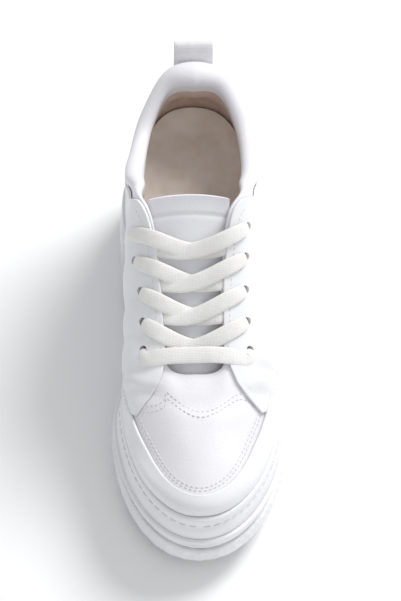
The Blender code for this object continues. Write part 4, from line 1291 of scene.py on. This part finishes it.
def tape_route(high, far, side, lift, facing_lift):
    """Out of an eyelet, over the facing and the tongue, and under the far facing."""
    eye, out = high
    near, near_out = throat_edge(eye[0] + NEAR_SHIFT, side)
    low = throat_edge(far[0][0] + FAR_SHIFT, -side)[0]
    up = tongue_top(low[0])[1]
    edge_up = unit(near_out + up)
    near = near + edge_up * (facing_lift - 1.0)
    z, middle_up = tongue_top(0.5 * (near[0] + low[0]))
    middle = np.array([0.5 * (near[0] + low[0]), 0.5 * (near[1] + low[1]), z])
    toward = unit(near - eye)
    stops = (
        (eye - out * HOLE_DEPTH, -toward, HOLE_WIDTH),
        (eye + out * 1.4 + toward * 0.4, out * 0.6 - toward, MOUTH_WIDTH),
        (eye + out * 3.2 + toward * 4.0, out, FLAT_WIDTH),
        (near, edge_up, LACE_WIDTH),
        (middle + middle_up * lift, middle_up, LACE_WIDTH),
        (low + np.array([0.0, side * 3.0, 0.0]) + up * 0.7, up, LACE_WIDTH),
        (low - np.array([0.0, side * 2.5, 0.0]) - up * 2.6, up, FLAT_WIDTH),
    )
    return zip(*stops)


def bar_route(outer, inner):
    """The bar: out of one front eyelet, straight over the tongue, into the other."""
    s = 0.5 * (outer[0][0] + inner[0][0]) + BAR_FORWARD
    up = tongue_top(s)[1]
    forward = np.array([1.0, 0.0, -0.5])
    stops = []
    for side, (eye, out) in ((1.0, outer), (-1.0, inner)):
        edge, edge_out = throat_edge(s, side)
        edge_up = unit(edge_out + up)
        end = eye + np.array([BAR_FORWARD * 0.8, 0.0, -BAR_FORWARD * 0.5]) + out * 3.4
        half = [
            (eye - out * HOLE_DEPTH, -forward, HOLE_WIDTH),
            (eye + out * 1.4 + forward * 0.3, out * 0.6, MOUTH_WIDTH),
            (end - np.array([0.0, side * 2.0, 0.0]), out, FLAT_WIDTH),
            (edge + edge_up * 3.2, edge_up, LACE_WIDTH),
        ]
        if side > 0:
            middle = np.array([s, edge[1] - 16.5, edge[2] + 1.2]) + up * 3.0
            half.append((middle, up, LACE_WIDTH))
        else:
            half.reverse()
        stops += half
    return zip(*stops)


def dress_laces():
    """The bar, and at each crossing one tape under and one over."""
    eyes = eyelet_places()
    outer, inner = eyes[:len(EYELET_ROWS)], eyes[len(EYELET_ROWS):]
    tape("lace_bar_tape", *bar_route(outer[0], inner[0]), "lace_bar")
    for k, facing_lift in enumerate(FACING_LIFTS):
        number = k + 1
        route = tape_route(inner[number], outer[k], -1.0, CROWN_LIFT, facing_lift)
        tape("lace_under_%d" % number, *route, "lace_cross_%d" % number)
        route = tape_route(outer[number], inner[k], 1.0, OVER_LIFT, facing_lift)
        tape("lace_over_%d" % number, *route, None)


LOOP_SAMPLES = 80
LOOP_SIDES = 24


def dress_loop():
    """The folded strap with rounded edges."""
    path = even_weights(len(LOOP_ROWS), LOOP_SAMPLES) @ np.array(LOOP_ROWS)
    ahead = unit(np.gradient(path, axis=0))
    out = np.stack([-ahead[:, 1], ahead[:, 0]], 1)
    points = []
    for k in range(len(path)):
        for turn in turns(LOOP_SIDES):
            a = squared(math.cos(turn), 0.3) * LOOP_WIDTH / 2.0
            b = squared(math.sin(turn), 0.7) * LOOP_THICK / 2.0
            place = path[k] + out[k] * b
            points.append((place[0], LOOP_MIDDLE + a, place[1]))
    mesh_piece("pull_strap", points, tube_faces(len(path), LOOP_SIDES), [STRAP], "pull_loop")


# Stage

CAMERA_PLACE = (-0.0821, -1.1100, 1.5497)
CAMERA_ACROSS = (0.99979, -0.00498, -0.0182)
AIM = (0.0015, 0.0015, 0.066)
FOCAL_PIXELS = 3440.0
FRAME_WIDTH = 401.0
SENSOR = 36.0
NEAREST = 0.05
LIGHT_AIM = (0.0, 0.0, 0.05)
FLOOR_REACH = 12.0
SKY = (0.97, 0.98, 1.0, 1.0)
SKY_STRENGTH = 0.55


def make_camera():
    """The photo's camera, turned to the one shoe and drawn closer with a longer lens."""
    data = bpy.data.cameras.new("camera")
    data.sensor_fit = "HORIZONTAL"
    data.sensor_width = SENSOR
    data.lens = SENSOR * FOCAL_PIXELS / FRAME_WIDTH
    data.clip_start = NEAREST
    camera = bpy.data.objects.new("camera", data)
    bpy.context.scene.collection.objects.link(camera)
    back = Vector(CAMERA_PLACE) - Vector(AIM)
    back.normalize()
    across = Vector(CAMERA_ACROSS)
    across = (across - back * across.dot(back)).normalized()
    matrix = Matrix((across, back.cross(across), back)).transposed().to_4x4()
    matrix.translation = Vector(CAMERA_PLACE)
    camera.matrix_world = matrix
    bpy.context.scene.camera = camera


def make_light(name, energy, place, size):
    """A soft round light that faces the shoe."""
    data = bpy.data.lights.new(name, "AREA")
    data.energy = energy
    data.shape = "DISK"
    data.size = size
    light = bpy.data.objects.new(name, data)
    bpy.context.scene.collection.objects.link(light)
    light.location = place
    light.rotation_euler = (Vector(LIGHT_AIM) - Vector(place)).to_track_quat("-Z", "Y").to_euler()


def make_stage():
    """A pale floor, an even sky, a key light from the heel's outer side and a weak fill."""
    mesh = bpy.data.meshes.new("floor")
    corners = ((-1, -1), (1, -1), (1, 1), (-1, 1))
    mesh.from_pydata([(x * FLOOR_REACH, y * FLOOR_REACH, 0) for x, y in corners], [], [(0, 1, 2, 3)])
    floor = bpy.data.objects.new("floor", mesh)
    bpy.context.scene.collection.objects.link(floor)
    mesh.materials.append(paper("floor_paper", (0.93, 0.93, 0.93), (0.95, 0.95, 0.95)))
    world = bpy.data.worlds.new("studio")
    bpy.context.scene.world = world
    world.use_nodes = True
    background = world.node_tree.nodes["Background"].inputs
    background["Color"].default_value = SKY
    background["Strength"].default_value = SKY_STRENGTH
    make_light("key", 26.0, (0.9, 0.75, 1.5), 0.9)
    make_light("fill", 4.0, (0.5, -1.4, 1.4), 1.4)
    bpy.context.scene.view_settings.view_transform = "Standard"


make_camera()
make_stage()
dress_outsole()
dress_midsole()
dress_rand()
upper = dress_upper()
quarters = dress_panels()
punch([upper] + quarters)
dress_stitches()
dress_tongue()
dress_insole()
dress_laces()
dress_loop()
